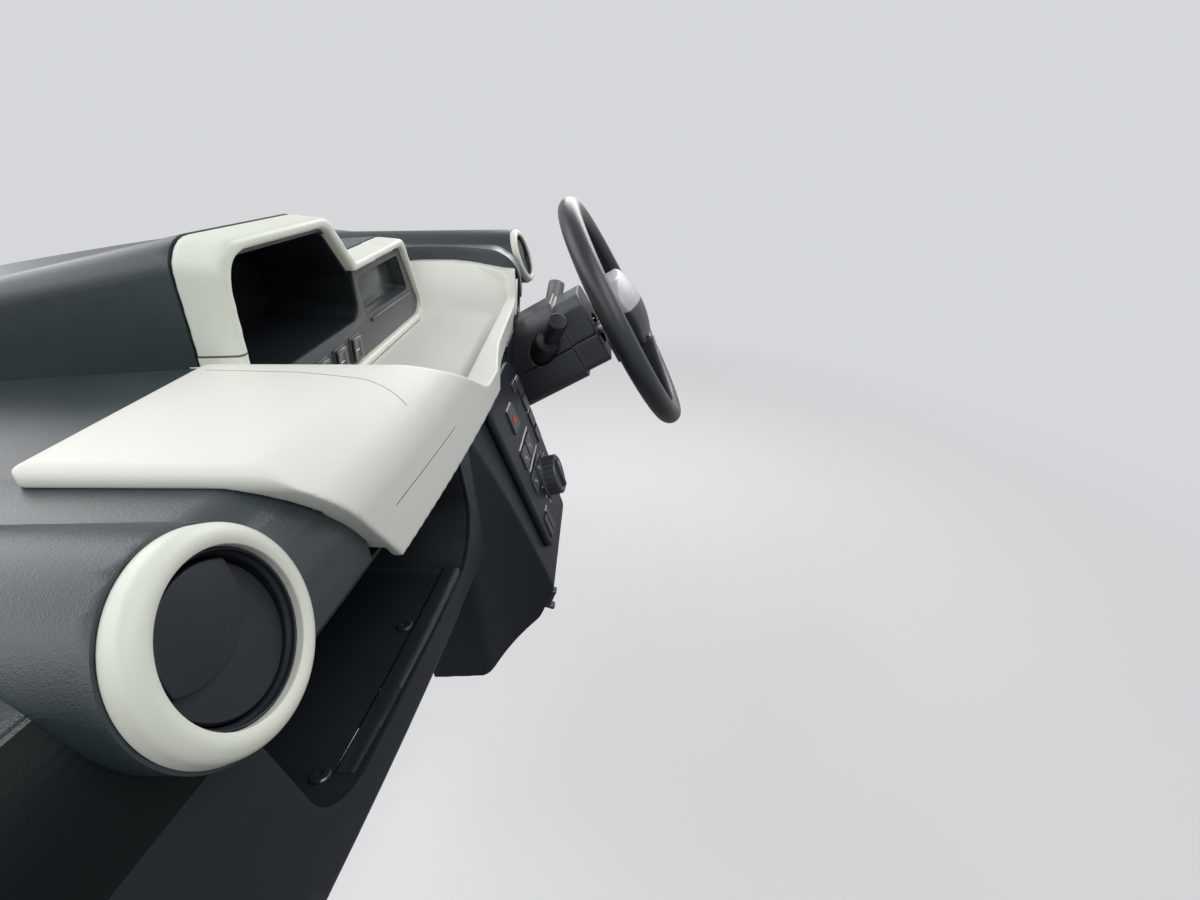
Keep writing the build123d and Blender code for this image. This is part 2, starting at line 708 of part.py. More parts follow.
def control_panel():
    """Raised plate with the climate and audio controls, its edge rounded."""
    rows = [
        (PANEL_LEFT_X, 5, 24), (PANEL_RIGHT_X, 5, 44),
        (PANEL_RIGHT_X - 5, PANEL_LENGTH, 18), (PANEL_LEFT_X + 17, PANEL_LENGTH, 18),
    ]
    plate = off_stack(on_stack(rows), PANEL_THICKNESS)
    out = stack_plane().z_dir
    rim = plate.faces().sort_by(Axis(stack_plane().origin, out))[-1].edges()
    return fillet(rim, PANEL_THICKNESS / 3)


def control_buttons():
    """Keys on the control panel: one wide key above, rows of narrow ones, a column at the right."""
    keys = []
    for x, d, w, h in (
        (-46, 38, 38, 18), (-50, 64, 24, 9), (-23, 64, 24, 9), (4, 64, 24, 9),
        (-50, 79, 24, 9), (-23, 79, 24, 9), (4, 79, 24, 9),
        (-46, 104, 26, 11), (-14, 104, 26, 11), (-46, 134, 26, 11),
        (58, 62, 26, 13), (58, 80, 26, 13), (58, 98, 26, 13), (58, 116, 26, 13), (-38, 200, 34, 8),
    ):
        rows = [
            (x - w / 2, d - h / 2, 2), (x + w / 2, d - h / 2, 2),
            (x + w / 2, d + h / 2, 2), (x - w / 2, d + h / 2, 2),
        ]
        keys.append(off_stack(on_stack(rows, PANEL_THICKNESS), 2).solid())
    return Compound(children=keys)


def climate_dial():
    """Round dial with a pointer rib, on a low collar."""
    seat = stack_plane(PANEL_THICKNESS) * Pos(DIAL_X, -DIAL_DOWN, 0)
    collar = off_stack(seat * Circle(DIAL_RADIUS + 4), 3)
    knob = off_stack(seat * Circle(DIAL_RADIUS), DIAL_HEIGHT)
    top = knob.faces().sort_by(Axis(stack_plane().origin, stack_plane().z_dir))[-1].edges()
    rib = off_stack(seat * Rectangle(6, 2 * DIAL_RADIUS - 8), DIAL_HEIGHT + 4)
    return fillet(top, 2) + collar + rib


def knee_rows(set_in):
    """Side profile of the driver's lower panel, from the seam down."""
    top = TRAY_REAR_Y + set_in
    return [
        (top, TRAY_SKIRT_Z - SEAT_GAP, 0), (top + 8, 40, 60), (top + 34, -60, 60), (top + 80, KICK_Z, 0),
    ]


def knee_panel():
    """Driver's lower panel, open round the column."""
    panel = bowed(knee_rows(0) + knee_rows(SKIN)[::-1], STACK_HALF_WIDTH + 5, HALF_WIDTH)
    hole = down_column(outline(shroud_rows(COLUMN_GAP), column_plane(20)), 400)
    return panel - hole


def shroud_rows(grow):
    """Outline of the shroud square to the column, grown all over."""
    half = SHROUD_WIDTH / 2 + grow
    low = -SHROUD_BOTTOM - grow
    high = SHROUD_TOP + grow
    return [
        (-half, low, 18 + grow), (half, low, 18 + grow), (half - 8, high, 26 + grow), (-half + 8, high, 26 + grow),
    ]


def shroud_form(set_in):
    """Filled form of the shroud, a narrow neck towards the wheel and a wide housing, set in all over."""
    first = SHROUD_START + set_in
    neck = outline(shroud_rows(-SHROUD_NECK_SET_IN - set_in), column_plane(first))
    housing = outline(shroud_rows(-set_in), column_plane(first + SHROUD_NECK))
    return down_column(neck, SHROUD_NECK + 2 * SKIN) + down_column(housing, SHROUD_LENGTH - SHROUD_NECK)


def shroud(part):
    """Upper or lower half of the plastic cover round the steering column."""
    start = column_plane(SHROUD_START)
    body = shroud_form(0) - shroud_form(SKIN)
    body -= down_column(start * Circle(JACKET_RADIUS + SEAT_GAP), 2 * SKIN)
    low, high = (SHROUD_SPLIT + SEAT_GAP, 200) if part == "upper" else (-200, SHROUD_SPLIT)
    keep = down_column(outline([(-200, low, 0), (200, low, 0), (200, high, 0), (-200, high, 0)], start), 400)
    hole = STALK_KNOB_RADIUS + STALK_ROOT_MORE + SEAT_GAP
    for sign in (-1, 1):
        body -= stalk_turned(sign, [(0, -30), (hole, -30), (hole, 60), (0, 60)])
    return body & keep


def column_jacket():
    """Steel tube of the column, with a bush at each end for the shaft."""
    start = column_plane(JACKET_START)
    section = Plane(origin=start.origin, x_dir=(1, 0, 0), z_dir=Vector(1, 0, 0).cross(start.z_dir))
    bore = SHAFT_RADIUS + SHAFT_FIT
    rows = [
        (bore, 0, 0), (JACKET_RADIUS, 0, 0), (JACKET_RADIUS, -JACKET_LENGTH, 0), (bore, -JACKET_LENGTH, 0),
        (bore, -JACKET_LENGTH + 25, 0), (JACKET_RADIUS - 4, -JACKET_LENGTH + 25, 0),
        (JACKET_RADIUS - 4, -25, 0), (bore, -25, 0),
    ]
    return revolve(outline(rows, section), Axis(start.origin, start.z_dir), 360)


def stalk_turned(sign, rows):
    """Solid turned about a stalk's line, from rows of (radius, distance out) or with a corner radius."""
    out, up, back = STALK_SWEEP[sign]
    start = column_plane(STALK_ALONG)
    direction = (start.x_dir * sign * out + start.y_dir * up + start.z_dir * back).normalized()
    origin = start.from_local_coords((sign * (SHROUD_WIDTH / 2 - STALK_ROOT), STALK_LIFT, 0))
    square = (start.y_dir - direction * start.y_dir.dot(direction)).normalized()
    section = Plane(origin=origin, x_dir=square, z_dir=square.cross(direction))
    return revolve(outline([(*row, 0)[:3] for row in rows], section), Axis(origin, direction), 360)


def stalk(sign):
    """Lever beside the column, swept back and up towards the driver, with a fat root and a knob."""
    r = STALK_KNOB_RADIUS
    root = r + STALK_ROOT_MORE
    neck = r * 0.62
    return stalk_turned(sign, [
        (0, 0), (root, 0, 2), (root, 36, 8), (neck, 44, 3), (neck, 54, 3),
        (r, 60, 3), (r, STALK_LENGTH, 4), (0, STALK_LENGTH),
    ])


def switch_body():
    """Steering column's switch block, which clamps the jacket and holds both stalks."""
    start = column_plane(STALK_ALONG - 20)
    half = SHROUD_WIDTH / 2 - STALK_ROOT + 7
    low, high = -JACKET_RADIUS - 7, STALK_LIFT + STALK_KNOB_RADIUS + STALK_ROOT_MORE + 5
    rows = [(-half, low, 6), (half, low, 6), (half, high, 10), (-half, high, 10)]
    block = down_column(outline(rows, start), 44)
    block -= down_column(start * Circle(JACKET_RADIUS + SEAT_GAP), 44)
    r = STALK_KNOB_RADIUS + STALK_ROOT_MORE + SEAT_GAP
    for sign in (-1, 1):
        block -= stalk_turned(sign, [(0, -SEAT_GAP), (r, -SEAT_GAP), (r, 60), (0, 60)])
    return block


def cross_beam():
    """Steel tube across the car behind the dash, with a welded plate and four bolt holes at each end."""
    inside = HALF_WIDTH - END_SET_IN - END_PLATE
    tube = Cylinder(BEAM_RADIUS, 2 * inside) - Cylinder(BEAM_RADIUS - BEAM_WALL, 2 * inside)
    beam = Location((0, BEAM_Y, 0), (0, 90, 0)) * tube
    for sign in (-1, 1):
        plate = fillet(Box(END_PLATE, END_PLATE_DEPTH, END_PLATE_HEIGHT).edges().filter_by(Axis.X), 10)
        for y in (-END_BOLT_Y / 2, END_BOLT_Y / 2):
            for z in (-END_BOLT_Z / 2, END_BOLT_Z / 2):
                plate -= Pos(0, y, z) * Rot(0, 90, 0) * Cylinder(END_BOLT_RADIUS, END_PLATE + 2)
        beam += Location((sign * (inside + END_PLATE / 2), BEAM_Y, 0)) * plate
    return beam


def side_cover(sign):
    """Lid on the dash's end below the seam, cut back round the beam's end plate."""
    panel = lip_rows(SKIN + 2) if sign < 0 else knee_rows(SKIN + 2)
    shift = bow_shift(HALF_WIDTH)
    top = SEAM_Z + 12
    low = KICK_Z + 30
    face = side([
        (panel[0][0] + shift, top, 0),
        *[(y + shift, z, r) for y, z, r in panel[1:-1]],
        (panel[-1][0] + shift - 12, low, 4),
        (BEAM_Y + END_PLATE_DEPTH, low, 0),
        (BEAM_Y + END_PLATE_DEPTH, top, 6),
    ])
    plate_room = side([
        (BEAM_Y - END_PLATE_DEPTH / 2 - 12, low - 50, 0),
        (BEAM_Y - END_PLATE_DEPTH / 2 - 12, END_PLATE_HEIGHT / 2 + 12, 10),
        (BEAM_Y + END_PLATE_DEPTH + 50, END_PLATE_HEIGHT / 2 + 12, 0),
        (BEAM_Y + END_PLATE_DEPTH + 50, low - 50, 0),
    ])
    thick = extrude(face, amount=SKIN, dir=(1, 0, 0)) - extrude(plate_room, amount=SKIN, dir=(1, 0, 0))
    return thick.moved(Location((sign * (HALF_WIDTH - SKIN - SEAT_GAP - SKIN / 2) - SKIN / 2, 0, 0)))


def cowl_bracket():
    """Bracket from the beam to the bulkhead, with four bolt holes round the origin."""
    width = COWL_BOLT_X + 36
    height = COWL_BOLT_Z + 36
    plate = Location((0, -COWL_PLATE / 2, 0)) * Box(width, COWL_PLATE, height)
    for x in (-COWL_BOLT_X / 2, COWL_BOLT_X / 2):
        for z in (-COWL_BOLT_Z / 2, COWL_BOLT_Z / 2):
            plate -= Location((x, -COWL_PLATE / 2, z)) * Rot(90, 0, 0) * Cylinder(COWL_BOLT_RADIUS, COWL_PLATE + 2)
    for sign in (-1, 1):
        arm = side([
            (BEAM_Y - 30, 32, 8), (BEAM_Y - 30, -32, 8),
            (-COWL_PLATE, -height / 2, 0), (-COWL_PLATE, height / 2, 0),
        ])
        plate += extrude(arm, amount=4, dir=(1, 0, 0)).moved(Location((sign * (width / 2 - 2) - 2, 0, 0)))
    beam = Location((0, BEAM_Y, 0), (0, 90, 0)) * Cylinder(BEAM_RADIUS, width + 20)
    return plate - beam


def column_bracket():
    """Two cheeks that hang the column's jacket from the beam."""
    beam = Location((WHEEL_X, BEAM_Y, 0), (0, 90, 0)) * Cylinder(BEAM_RADIUS, 200)
    jacket = down_column(column_plane(0) * Circle(JACKET_RADIUS), 600)
    cheeks = Part()
    for sign in (-1, 1):
        rows = [
            (BEAM_Y - 110, -24, 12), (BEAM_Y - 30, 36, 12), (BEAM_Y + 34, 36, 12),
            (BEAM_Y + 34, -96, 12), (BEAM_Y - 10, -96, 12),
        ]
        cheeks += across(rows, WHEEL_X + sign * 22 - 2.5, WHEEL_X + sign * 22 + 2.5)
    saddle = down_column(column_plane(330) * Rectangle(44, 2 * JACKET_RADIUS + 8), 60)
    return (cheeks + saddle) - beam - jacket


def deck_struts():
    """Plates that stand on the beam and carry the deck."""
    struts = []
    beam = Location((0, BEAM_Y, 0), (0, 90, 0)) * Cylinder(BEAM_RADIUS, 3 * HALF_WIDTH)
    half = STRUT_THICKNESS / 2
    outer = HALF_WIDTH - STRUT_END_GAP
    for x in (-outer, -STRUT_INNER_X, STRUT_INNER_X, outer):
        rows = [
            (BEAM_Y - 20, -10, 6), (DECK_FLAT_FRONT_Y - 52, DECK_Z - SKIN, 0),
            (DECK_FLAT_FRONT_Y - 18, DECK_Z - SKIN, 0), (BEAM_Y + 20, -10, 6),
        ]
        struts.append((across(rows, x - half, x + half) - beam).solid())
    return Compound(children=struts)


def wheel_rim():
    """Padded rim of the steering wheel."""
    return column_plane(0) * Torus(RIM_RADIUS, RIM_SECTION)


def wheel_spokes():
    """Three spokes and the hub boss."""
    face = column_plane(0)
    arms = [
        [(-20, -26, 6), (-RIM_RADIUS, -8, 0), (-RIM_RADIUS, 22, 0), (-20, 30, 6)],
        [(20, -26, 6), (RIM_RADIUS, -8, 0), (RIM_RADIUS, 22, 0), (20, 30, 6)],
        [(-34, -20, 6), (-26, -RIM_RADIUS, 0), (26, -RIM_RADIUS, 0), (34, -20, 6)],
    ]
    body = down_column(column_plane(HUB_FRONT) * Circle(HUB_RADIUS), HUB_DEPTH)
    for rows in arms:
        body += down_column(outline(rows, column_plane(HUB_FRONT)), SPOKE_THICKNESS)
    rim = face * Torus(RIM_RADIUS, RIM_SECTION)
    bore = down_column(column_plane(-40) * Circle(SHAFT_RADIUS), 100)
    return body - rim - bore


def wheel_pad():
    """Moulded airbag cover over the hub, domed towards the driver."""
    rows = [(-58, -PAD_LOW, 24), (58, -PAD_LOW, 24), (74, PAD_HIGH, 36), (-74, PAD_HIGH, 36)]
    front_plane = column_plane(HUB_FRONT - PAD_DEPTH)
    pad = down_column(outline(rows, front_plane), PAD_DEPTH)
    dome = front_plane * Pos(0, (PAD_HIGH - PAD_LOW) / 2, -PAD_DOME_RADIUS) * Sphere(PAD_DOME_RADIUS)
    pad = pad & dome
    rim = pad.faces().sort_by(Axis(front_plane.origin, front_plane.z_dir))[-1].edges()
    return fillet(rim, 6)


def wheel_trim():
    """Bright insert let into the face of the lower spoke."""
    rows = [(-13, -PAD_LOW - 6, 5), (-10, -RIM_RADIUS + 24, 5), (10, -RIM_RADIUS + 24, 5), (13, -PAD_LOW - 6, 5)]
    return down_column(outline(rows, column_plane(HUB_FRONT - 3)), 3)


def steering_shaft():
    """Shaft from the wheel's hub through the jacket, its lower end stepped down for the joint."""
    start = HUB_FRONT + 2
    shaft = down_column(column_plane(start) * Circle(SHAFT_RADIUS), SHAFT_LENGTH - SHAFT_END_LENGTH)
    end = column_plane(start + SHAFT_LENGTH - SHAFT_END_LENGTH)
    return shaft + down_column(end * Circle(SHAFT_END_RADIUS), SHAFT_END_LENGTH)


def heater_case():
    """Plain block of the heater, hung from the cowl bracket's foot."""
    low = HEATER_TOP_Z - HEATER_HEIGHT
    rows = [(-172, HEATER_TOP_Z, 10), (-172, low, 20), (-8, low, 30), (-8, HEATER_TOP_Z, 10)]
    return across(rows, -HEATER_HALF_WIDTH, HEATER_HALF_WIDTH)


def air_duct(sign):
    """Duct from the heater's top up and out to one vent."""
    near, far = DUCT_FRONT_Y - DUCT_DEPTH, DUCT_FRONT_Y
    inner, outer = VENT_X - 26, VENT_X + 26
    level = plan([
        (DUCT_RISER_X * sign, far, 0), (outer * sign, far, 30), ((outer + 8) * sign, VENT_Y, 0),
        (inner * sign, VENT_Y, 0), (inner * sign, near, 20), (DUCT_RISER_X * sign, near, 0),
    ], DUCT_LOW_Z)
    body = extrude(level, amount=DUCT_HEIGHT)
    ends = sorted((DUCT_RISER_X * sign, (DUCT_RISER_X + DUCT_DEPTH) * sign))
    body += slab(*ends, near, far, HEATER_TOP_Z + SEAT_GAP, DUCT_LOW_Z + 6)
    return body & extrude(vent_plane(sign, -VENT_SLEEVE_DEPTH - SEAT_GAP) * Circle(900), amount=-700)


nodes = {
    "cross_beam": cross_beam(),
    "side_cover_left": side_cover(-1),
    "side_cover_right": side_cover(1),
    "cowl_bracket": cowl_bracket(),
    "column_bracket": column_bracket(),
    "deck_struts": deck_struts(),
    "dash_shell": dash_shell(),
    "vent_pod_left": vent_pod(-1),
    "vent_pod_right": vent_pod(1),
    "vent_ring_left": vent_ring(-1),
    "vent_ring_right": vent_ring(1),
    "vent_sleeve_left": vent_sleeve(-1),
    "vent_sleeve_right": vent_sleeve(1),
    "vent_flap_left": vent_flap(-1),
    "vent_flap_right": vent_flap(1),
    "top_panel": top_panel(),
    "hood_ring": hood_ring(),
    "hood_cowl": hood_cowl(),
    "gauge_fascia": gauge_fascia(),
    "pocket_liner": pocket_liner(),
    "gauge_case": gauge_case(),
    "gauge_display": gauge_display(),
    "rocker_switches": rocker_switches(),
    "lower_panel_left": lower_panel_left(),
    "shelf_tray": shelf_tray(),
    "centre_stack": centre_stack(),
    "control_panel": control_panel(),
    "control_buttons": control_buttons(),
    "climate_dial": climate_dial(),
    "knee_panel": knee_panel(),
    "shroud_upper": shroud("upper"),
    "shroud_lower": shroud("lower"),
    "column_jacket": column_jacket(),
    "switch_body": switch_body(),
    "stalk_left": stalk(-1),
    "stalk_right": stalk(1),
    "heater_case": heater_case(),
    "air_duct_left": air_duct(-1),
    "air_duct_right": air_duct(1),
    "wheel_rim": wheel_rim(),
    "wheel_spokes": wheel_spokes(),
    "wheel_pad": wheel_pad(),
    "wheel_trim": wheel_trim(),
    "steering_shaft": steering_shaft(),
}

os.makedirs("parts", exist_ok=True)
for name, shape in nodes.items():
    export_step(shape, f"parts/{name}.step")
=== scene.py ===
"""Looks of a microcar's dashboard: dark grained mouldings, a cream top, round vents and a steering wheel.

Metres. X to the car's right, Y forward to the windscreen, Z up, as in the model that is loaded.
"""

import json
from math import atan2, cos, pi, radians, sin

import bmesh
import bpy
from mathutils import Matrix, Vector

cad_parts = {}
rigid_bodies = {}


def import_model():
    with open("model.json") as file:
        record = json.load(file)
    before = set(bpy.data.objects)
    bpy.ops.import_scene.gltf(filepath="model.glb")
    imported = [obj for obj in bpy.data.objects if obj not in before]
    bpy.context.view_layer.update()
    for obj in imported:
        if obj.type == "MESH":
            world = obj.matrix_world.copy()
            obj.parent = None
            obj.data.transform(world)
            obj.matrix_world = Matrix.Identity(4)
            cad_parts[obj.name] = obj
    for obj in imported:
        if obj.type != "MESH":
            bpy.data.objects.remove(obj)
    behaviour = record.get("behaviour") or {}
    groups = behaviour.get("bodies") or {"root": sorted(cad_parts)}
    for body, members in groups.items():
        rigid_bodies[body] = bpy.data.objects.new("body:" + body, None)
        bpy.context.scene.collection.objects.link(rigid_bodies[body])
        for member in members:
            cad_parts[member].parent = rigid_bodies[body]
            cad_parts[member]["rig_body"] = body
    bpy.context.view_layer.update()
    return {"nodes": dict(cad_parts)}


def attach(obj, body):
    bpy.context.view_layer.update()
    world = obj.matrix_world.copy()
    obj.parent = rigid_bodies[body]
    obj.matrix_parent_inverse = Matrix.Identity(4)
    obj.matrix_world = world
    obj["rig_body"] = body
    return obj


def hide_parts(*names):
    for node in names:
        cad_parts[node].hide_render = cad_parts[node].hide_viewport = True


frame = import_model()


# Planes of the dash that new pieces are set into

def leaning_plane(place, out):
    """Matrix of a plane through a place: X to the car's right, Y up along the plane, Z out of it."""
    across = Vector((1, 0, 0))
    rows = Matrix((across, out.cross(across), out)).transposed()
    return Matrix.Translation(place) @ rows.to_4x4()


STACK_LEAN = radians(16)
STACK_OUT = Vector((0, -cos(STACK_LEAN), sin(STACK_LEAN)))
STACK_FACE = leaning_plane(Vector((0, -0.398, 0.116)), STACK_OUT)
PANEL_PROUD = 0.009
PANEL_FACE = STACK_FACE @ Matrix.Translation((0, 0, PANEL_PROUD))

HOOD_LEAN = radians(5)
HOOD_OUT = Vector((0, -cos(HOOD_LEAN), -sin(HOOD_LEAN)))
HOOD_MIDDLE = 0.2085
HOOD_MOUTH = leaning_plane(Vector((0, -0.264, HOOD_MIDDLE)), HOOD_OUT)
FASCIA_SET_IN = 0.007
FASCIA_FACE = HOOD_MOUTH @ Matrix.Translation((0, 0, -FASCIA_SET_IN))

COLUMN_ANGLE = radians(28.4)
COLUMN_OUT = Vector((0, -cos(COLUMN_ANGLE), sin(COLUMN_ANGLE)))
WHEEL_FACE = leaning_plane(Vector((0.220, -0.562, 0.126)), COLUMN_OUT)

# The upper moulding ends at this height outside of the pods; below it the shell gets a much darker
# finish, which is painted shade
PAINTED_SHADE_TOP = 0.190
SHADE_AND_SEAM_SIDE = 0.43
SPLIT_LINE = 0.1905


# Shader nodes

def feed(tree, socket, value):
    """Links an output to a socket, or sets the socket to a plain value."""
    if isinstance(value, bpy.types.NodeSocket):
        tree.links.new(value, socket)
    else:
        socket.default_value = value


def worked_out(tree, operation, first, second=0.0):
    """Result of a sum on two outputs or numbers."""
    node = tree.nodes.new("ShaderNodeMath")
    node.operation = operation
    feed(tree, node.inputs[0], first)
    feed(tree, node.inputs[1], second)
    return node.outputs[0]


def clamped(tree, value):
    """A value kept between 0 and 1."""
    node = tree.nodes.new("ShaderNodeClamp")
    tree.links.new(value, node.inputs[0])
    return node.outputs[0]


def scaled(tree, colour, amount):
    """A colour times an amount."""
    node = tree.nodes.new("ShaderNodeVectorMath")
    node.operation = "SCALE"
    tree.links.new(colour, node.inputs[0])
    tree.links.new(amount, node.inputs["Scale"])
    return node.outputs[0]


def blend_of(tree, factor, first, second):
    """Colour between two colours."""
    node = tree.nodes.new("ShaderNodeMix")
    node.data_type = "RGBA"
    feed(tree, node.inputs["Factor"], factor)
    feed(tree, node.inputs["A"], first)
    feed(tree, node.inputs["B"], second)
    return node.outputs["Result"]


def own_place(tree):
    """Place on a piece, in its own coordinates."""
    return tree.nodes.new("ShaderNodeTexCoord").outputs["Object"]


def cloud_of(tree, scale, detail=2.0, roughness=0.5):
    """Cloudy value over a piece, about 0.5."""
    node = tree.nodes.new("ShaderNodeTexNoise")
    tree.links.new(own_place(tree), node.inputs["Vector"])
    feed(tree, node.inputs["Scale"], scale)
    node.inputs["Detail"].default_value = detail
    node.inputs["Roughness"].default_value = roughness
    return node.outputs[0]


# Effects that several finishes share

def effect(name, inputs, outputs):
    """An empty shader group with named inputs and outputs."""
    tree = bpy.data.node_groups.new(name, "ShaderNodeTree")
    for label, kind, value in inputs:
        socket = tree.interface.new_socket(name=label, in_out="INPUT", socket_type=kind)
        socket.default_value = value
    for label, kind in outputs:
        tree.interface.new_socket(name=label, in_out="OUTPUT", socket_type=kind)
    return tree, tree.nodes.new("NodeGroupInput"), tree.nodes.new("NodeGroupOutput")


def placed(tree, group, values):
    """An effect placed in a material, with its own values."""
    node = tree.nodes.new("ShaderNodeGroup")
    node.node_tree = group
    for label, value in values.items():
        node.inputs[label].default_value = value
    return node


def moulded_grain():
    """Pebbled skin of a grained mould: the height of its cells and of finer pores."""
    tree, given, out = effect(
        "moulded_grain",
        [("Cells per metre", "NodeSocketFloat", 900.0)],
        [("Height", "NodeSocketFloat")],
    )
    cell_share, pore_ratio = 0.8, 0.45
    cells = tree.nodes.new("ShaderNodeTexVoronoi")
    cells.feature = "SMOOTH_F1"
    cells.inputs["Smoothness"].default_value = 0.4
    tree.links.new(own_place(tree), cells.inputs["Vector"])
    tree.links.new(given.outputs[0], cells.inputs["Scale"])
    pores = cloud_of(tree, worked_out(tree, "MULTIPLY", given.outputs[0], pore_ratio), detail=3.0)
    peaks = worked_out(tree, "MULTIPLY", cells.outputs["Distance"], cell_share)
    tree.links.new(worked_out(tree, "ADD", peaks, pores), out.inputs[0])
    return tree


def tone_drift():
    """Slow change of colour and gloss over a moulding, as from handling and the mould's flow."""
    tree, given, out = effect(
        "tone_drift",
        [
            ("Colour", "NodeSocketColor", (0.5, 0.5, 0.5, 1)),
            ("Gloss", "NodeSocketFloat", 0.5),
            ("Amount", "NodeSocketFloat", 0.1),
            ("Patches per metre", "NodeSocketFloat", 7.0),
        ],
        [("Colour", "NodeSocketColor"), ("Roughness", "NodeSocketFloat")],
    )
    cloud = cloud_of(tree, given.outputs["Patches per metre"], detail=4.0, roughness=0.6)
    drift = worked_out(tree, "SUBTRACT", cloud, 0.5)
    swing = worked_out(tree, "MULTIPLY", drift, given.outputs["Amount"])
    bright = worked_out(tree, "ADD", swing, 1.0)
    tree.links.new(scaled(tree, given.outputs["Colour"], bright), out.inputs["Colour"])
    tree.links.new(worked_out(tree, "ADD", given.outputs["Gloss"], swing), out.inputs["Roughness"])
    return tree


def edge_wear_and_highlight():
    """How far a surface is an outer edge, from 0 to 1, broken up along the edge; such edges are made
    paler, partly as wear and partly as a painted highlight.
    """
    tree, given, out = effect(
        "edge_wear_and_highlight",
        [("Reach", "NodeSocketFloat", 0.06)],
        [("Mask", "NodeSocketFloat")],
    )
    outer_edge, breaks_per_metre = 0.53, 60.0
    shape = tree.nodes.new("ShaderNodeNewGeometry")
    edge = worked_out(tree, "SUBTRACT", shape.outputs["Pointiness"], outer_edge)
    edge = worked_out(tree, "DIVIDE", edge, given.outputs["Reach"])
    broken = cloud_of(tree, breaks_per_metre)
    tree.links.new(worked_out(tree, "MULTIPLY", clamped(tree, edge), broken), out.inputs[0])
    return tree


def scored_line():
    """A fine joint line where a surface crosses a plane, between two lengths along the line."""
    tree, given, out = effect(
        "scored_line",
        [
            ("Start", "NodeSocketVector", (0, 0, 0)),
            ("Along", "NodeSocketVector", (1, 0, 0)),
            ("Across", "NodeSocketVector", (0, 0, 1)),
            ("Length", "NodeSocketFloat", 0.1),
            ("Half width", "NodeSocketFloat", 0.0006),
        ],
        [("Mask", "NodeSocketFloat")],
    )
    softness = 1.6
    offset = tree.nodes.new("ShaderNodeVectorMath")
    offset.operation = "SUBTRACT"
    tree.links.new(own_place(tree), offset.inputs[0])
    tree.links.new(given.outputs["Start"], offset.inputs[1])
    measures = []
    for direction in ("Along", "Across"):
        dot = tree.nodes.new("ShaderNodeVectorMath")
        dot.operation = "DOT_PRODUCT"
        tree.links.new(offset.outputs[0], dot.inputs[0])
        tree.links.new(given.outputs[direction], dot.inputs[1])
        measures.append(dot.outputs["Value"])
    run, aside = measures
    begun = worked_out(tree, "GREATER_THAN", run, 0.0)
    not_over = worked_out(tree, "LESS_THAN", run, given.outputs["Length"])
    near = worked_out(tree, "DIVIDE", worked_out(tree, "ABSOLUTE", aside), given.outputs["Half width"])
    depth = clamped(tree, worked_out(tree, "SUBTRACT", softness, near))
    inside = worked_out(tree, "MULTIPLY", begun, not_over)
    tree.links.new(worked_out(tree, "MULTIPLY", inside, depth), out.inputs[0])
    return tree


GRAIN = moulded_grain()
DRIFT = tone_drift()
EDGE_WEAR_AND_HIGHLIGHT = edge_wear_and_highlight()
SCORE = scored_line()


# Finishes

COAT_ROUGHNESS = 0.12
LINE_COLOUR = (0.012, 0.012, 0.013, 1)
LINE_DEPTH = 0.0006


def finish(name, colour, gloss, cells, depth, drift, painted_highlight_and_wear=0.0, metal=0.0, coat=0.0, specular=0.5,
           patches=7.0):
    """A moulded, coated or metal finish with grain, slow tone change and paler outer edges, partly rubbed
    wear and partly a painted highlight.
    """
    material = bpy.data.materials.new(name)
    material.use_nodes = True
    tree = material.node_tree
    shader = tree.nodes["Principled BSDF"]
    shader.inputs["Metallic"].default_value = metal
    shader.inputs["Coat Weight"].default_value = coat
    shader.inputs["Coat Roughness"].default_value = COAT_ROUGHNESS
    shader.inputs["Specular IOR Level"].default_value = specular
    tone = placed(tree, DRIFT, {
        "Colour": (*colour, 1), "Gloss": gloss, "Amount": drift, "Patches per metre": patches,
    })
    tree.links.new(tone.outputs["Roughness"], shader.inputs["Roughness"])
    shown = tone.outputs["Colour"]
    # Outer edges made paler: partly rubbed wear, partly a painted highlight
    if painted_highlight_and_wear:
        highlight_and_wear_mask = worked_out(tree, "MULTIPLY", placed(tree, EDGE_WEAR_AND_HIGHLIGHT, {}).outputs[0], painted_highlight_and_wear)
        paler = (*[min(1, channel * 2.2 + 0.03) for channel in colour], 1)
        shown = blend_of(tree, highlight_and_wear_mask, shown, paler)
    tree.links.new(shown, shader.inputs["Base Color"])
    skin = placed(tree, GRAIN, {"Cells per metre": cells})
    bump = tree.nodes.new("ShaderNodeBump")
    bump.inputs["Strength"].default_value = 1.0
    bump.inputs["Distance"].default_value = depth
    tree.links.new(skin.outputs[0], bump.inputs["Height"])
    tree.links.new(bump.outputs[0], shader.inputs["Normal"])
    return material


def score(material, lines, dark):
    """Adds joint lines to a finish, from rows of (start, along, across, length, half width)."""
    tree = material.node_tree
    shader = tree.nodes["Principled BSDF"]
    mask = None
    for start, along, across, length, half_width in lines:
        line = placed(tree, SCORE, {
            "Start": start,
            "Along": Vector(along).normalized(),
            "Across": Vector(across).normalized(),
            "Length": length,
            "Half width": half_width,
        }).outputs[0]
        mask = line if mask is None else worked_out(tree, "MAXIMUM", mask, line)
    plain = shader.inputs["Base Color"].links[0].from_socket
    darker = blend_of(tree, worked_out(tree, "MULTIPLY", mask, dark), plain, LINE_COLOUR)
    tree.links.new(darker, shader.inputs["Base Color"])
    sunk = tree.nodes.new("ShaderNodeBump")
    sunk.inputs["Distance"].default_value = LINE_DEPTH
    sunk.inputs["Strength"].default_value = 1.0
    sunk.invert = True
    tree.links.new(mask, sunk.inputs["Height"])
    tree.links.new(shader.inputs["Normal"].links[0].from_socket, sunk.inputs["Normal"])
    tree.links.new(sunk.outputs[0], shader.inputs["Normal"])
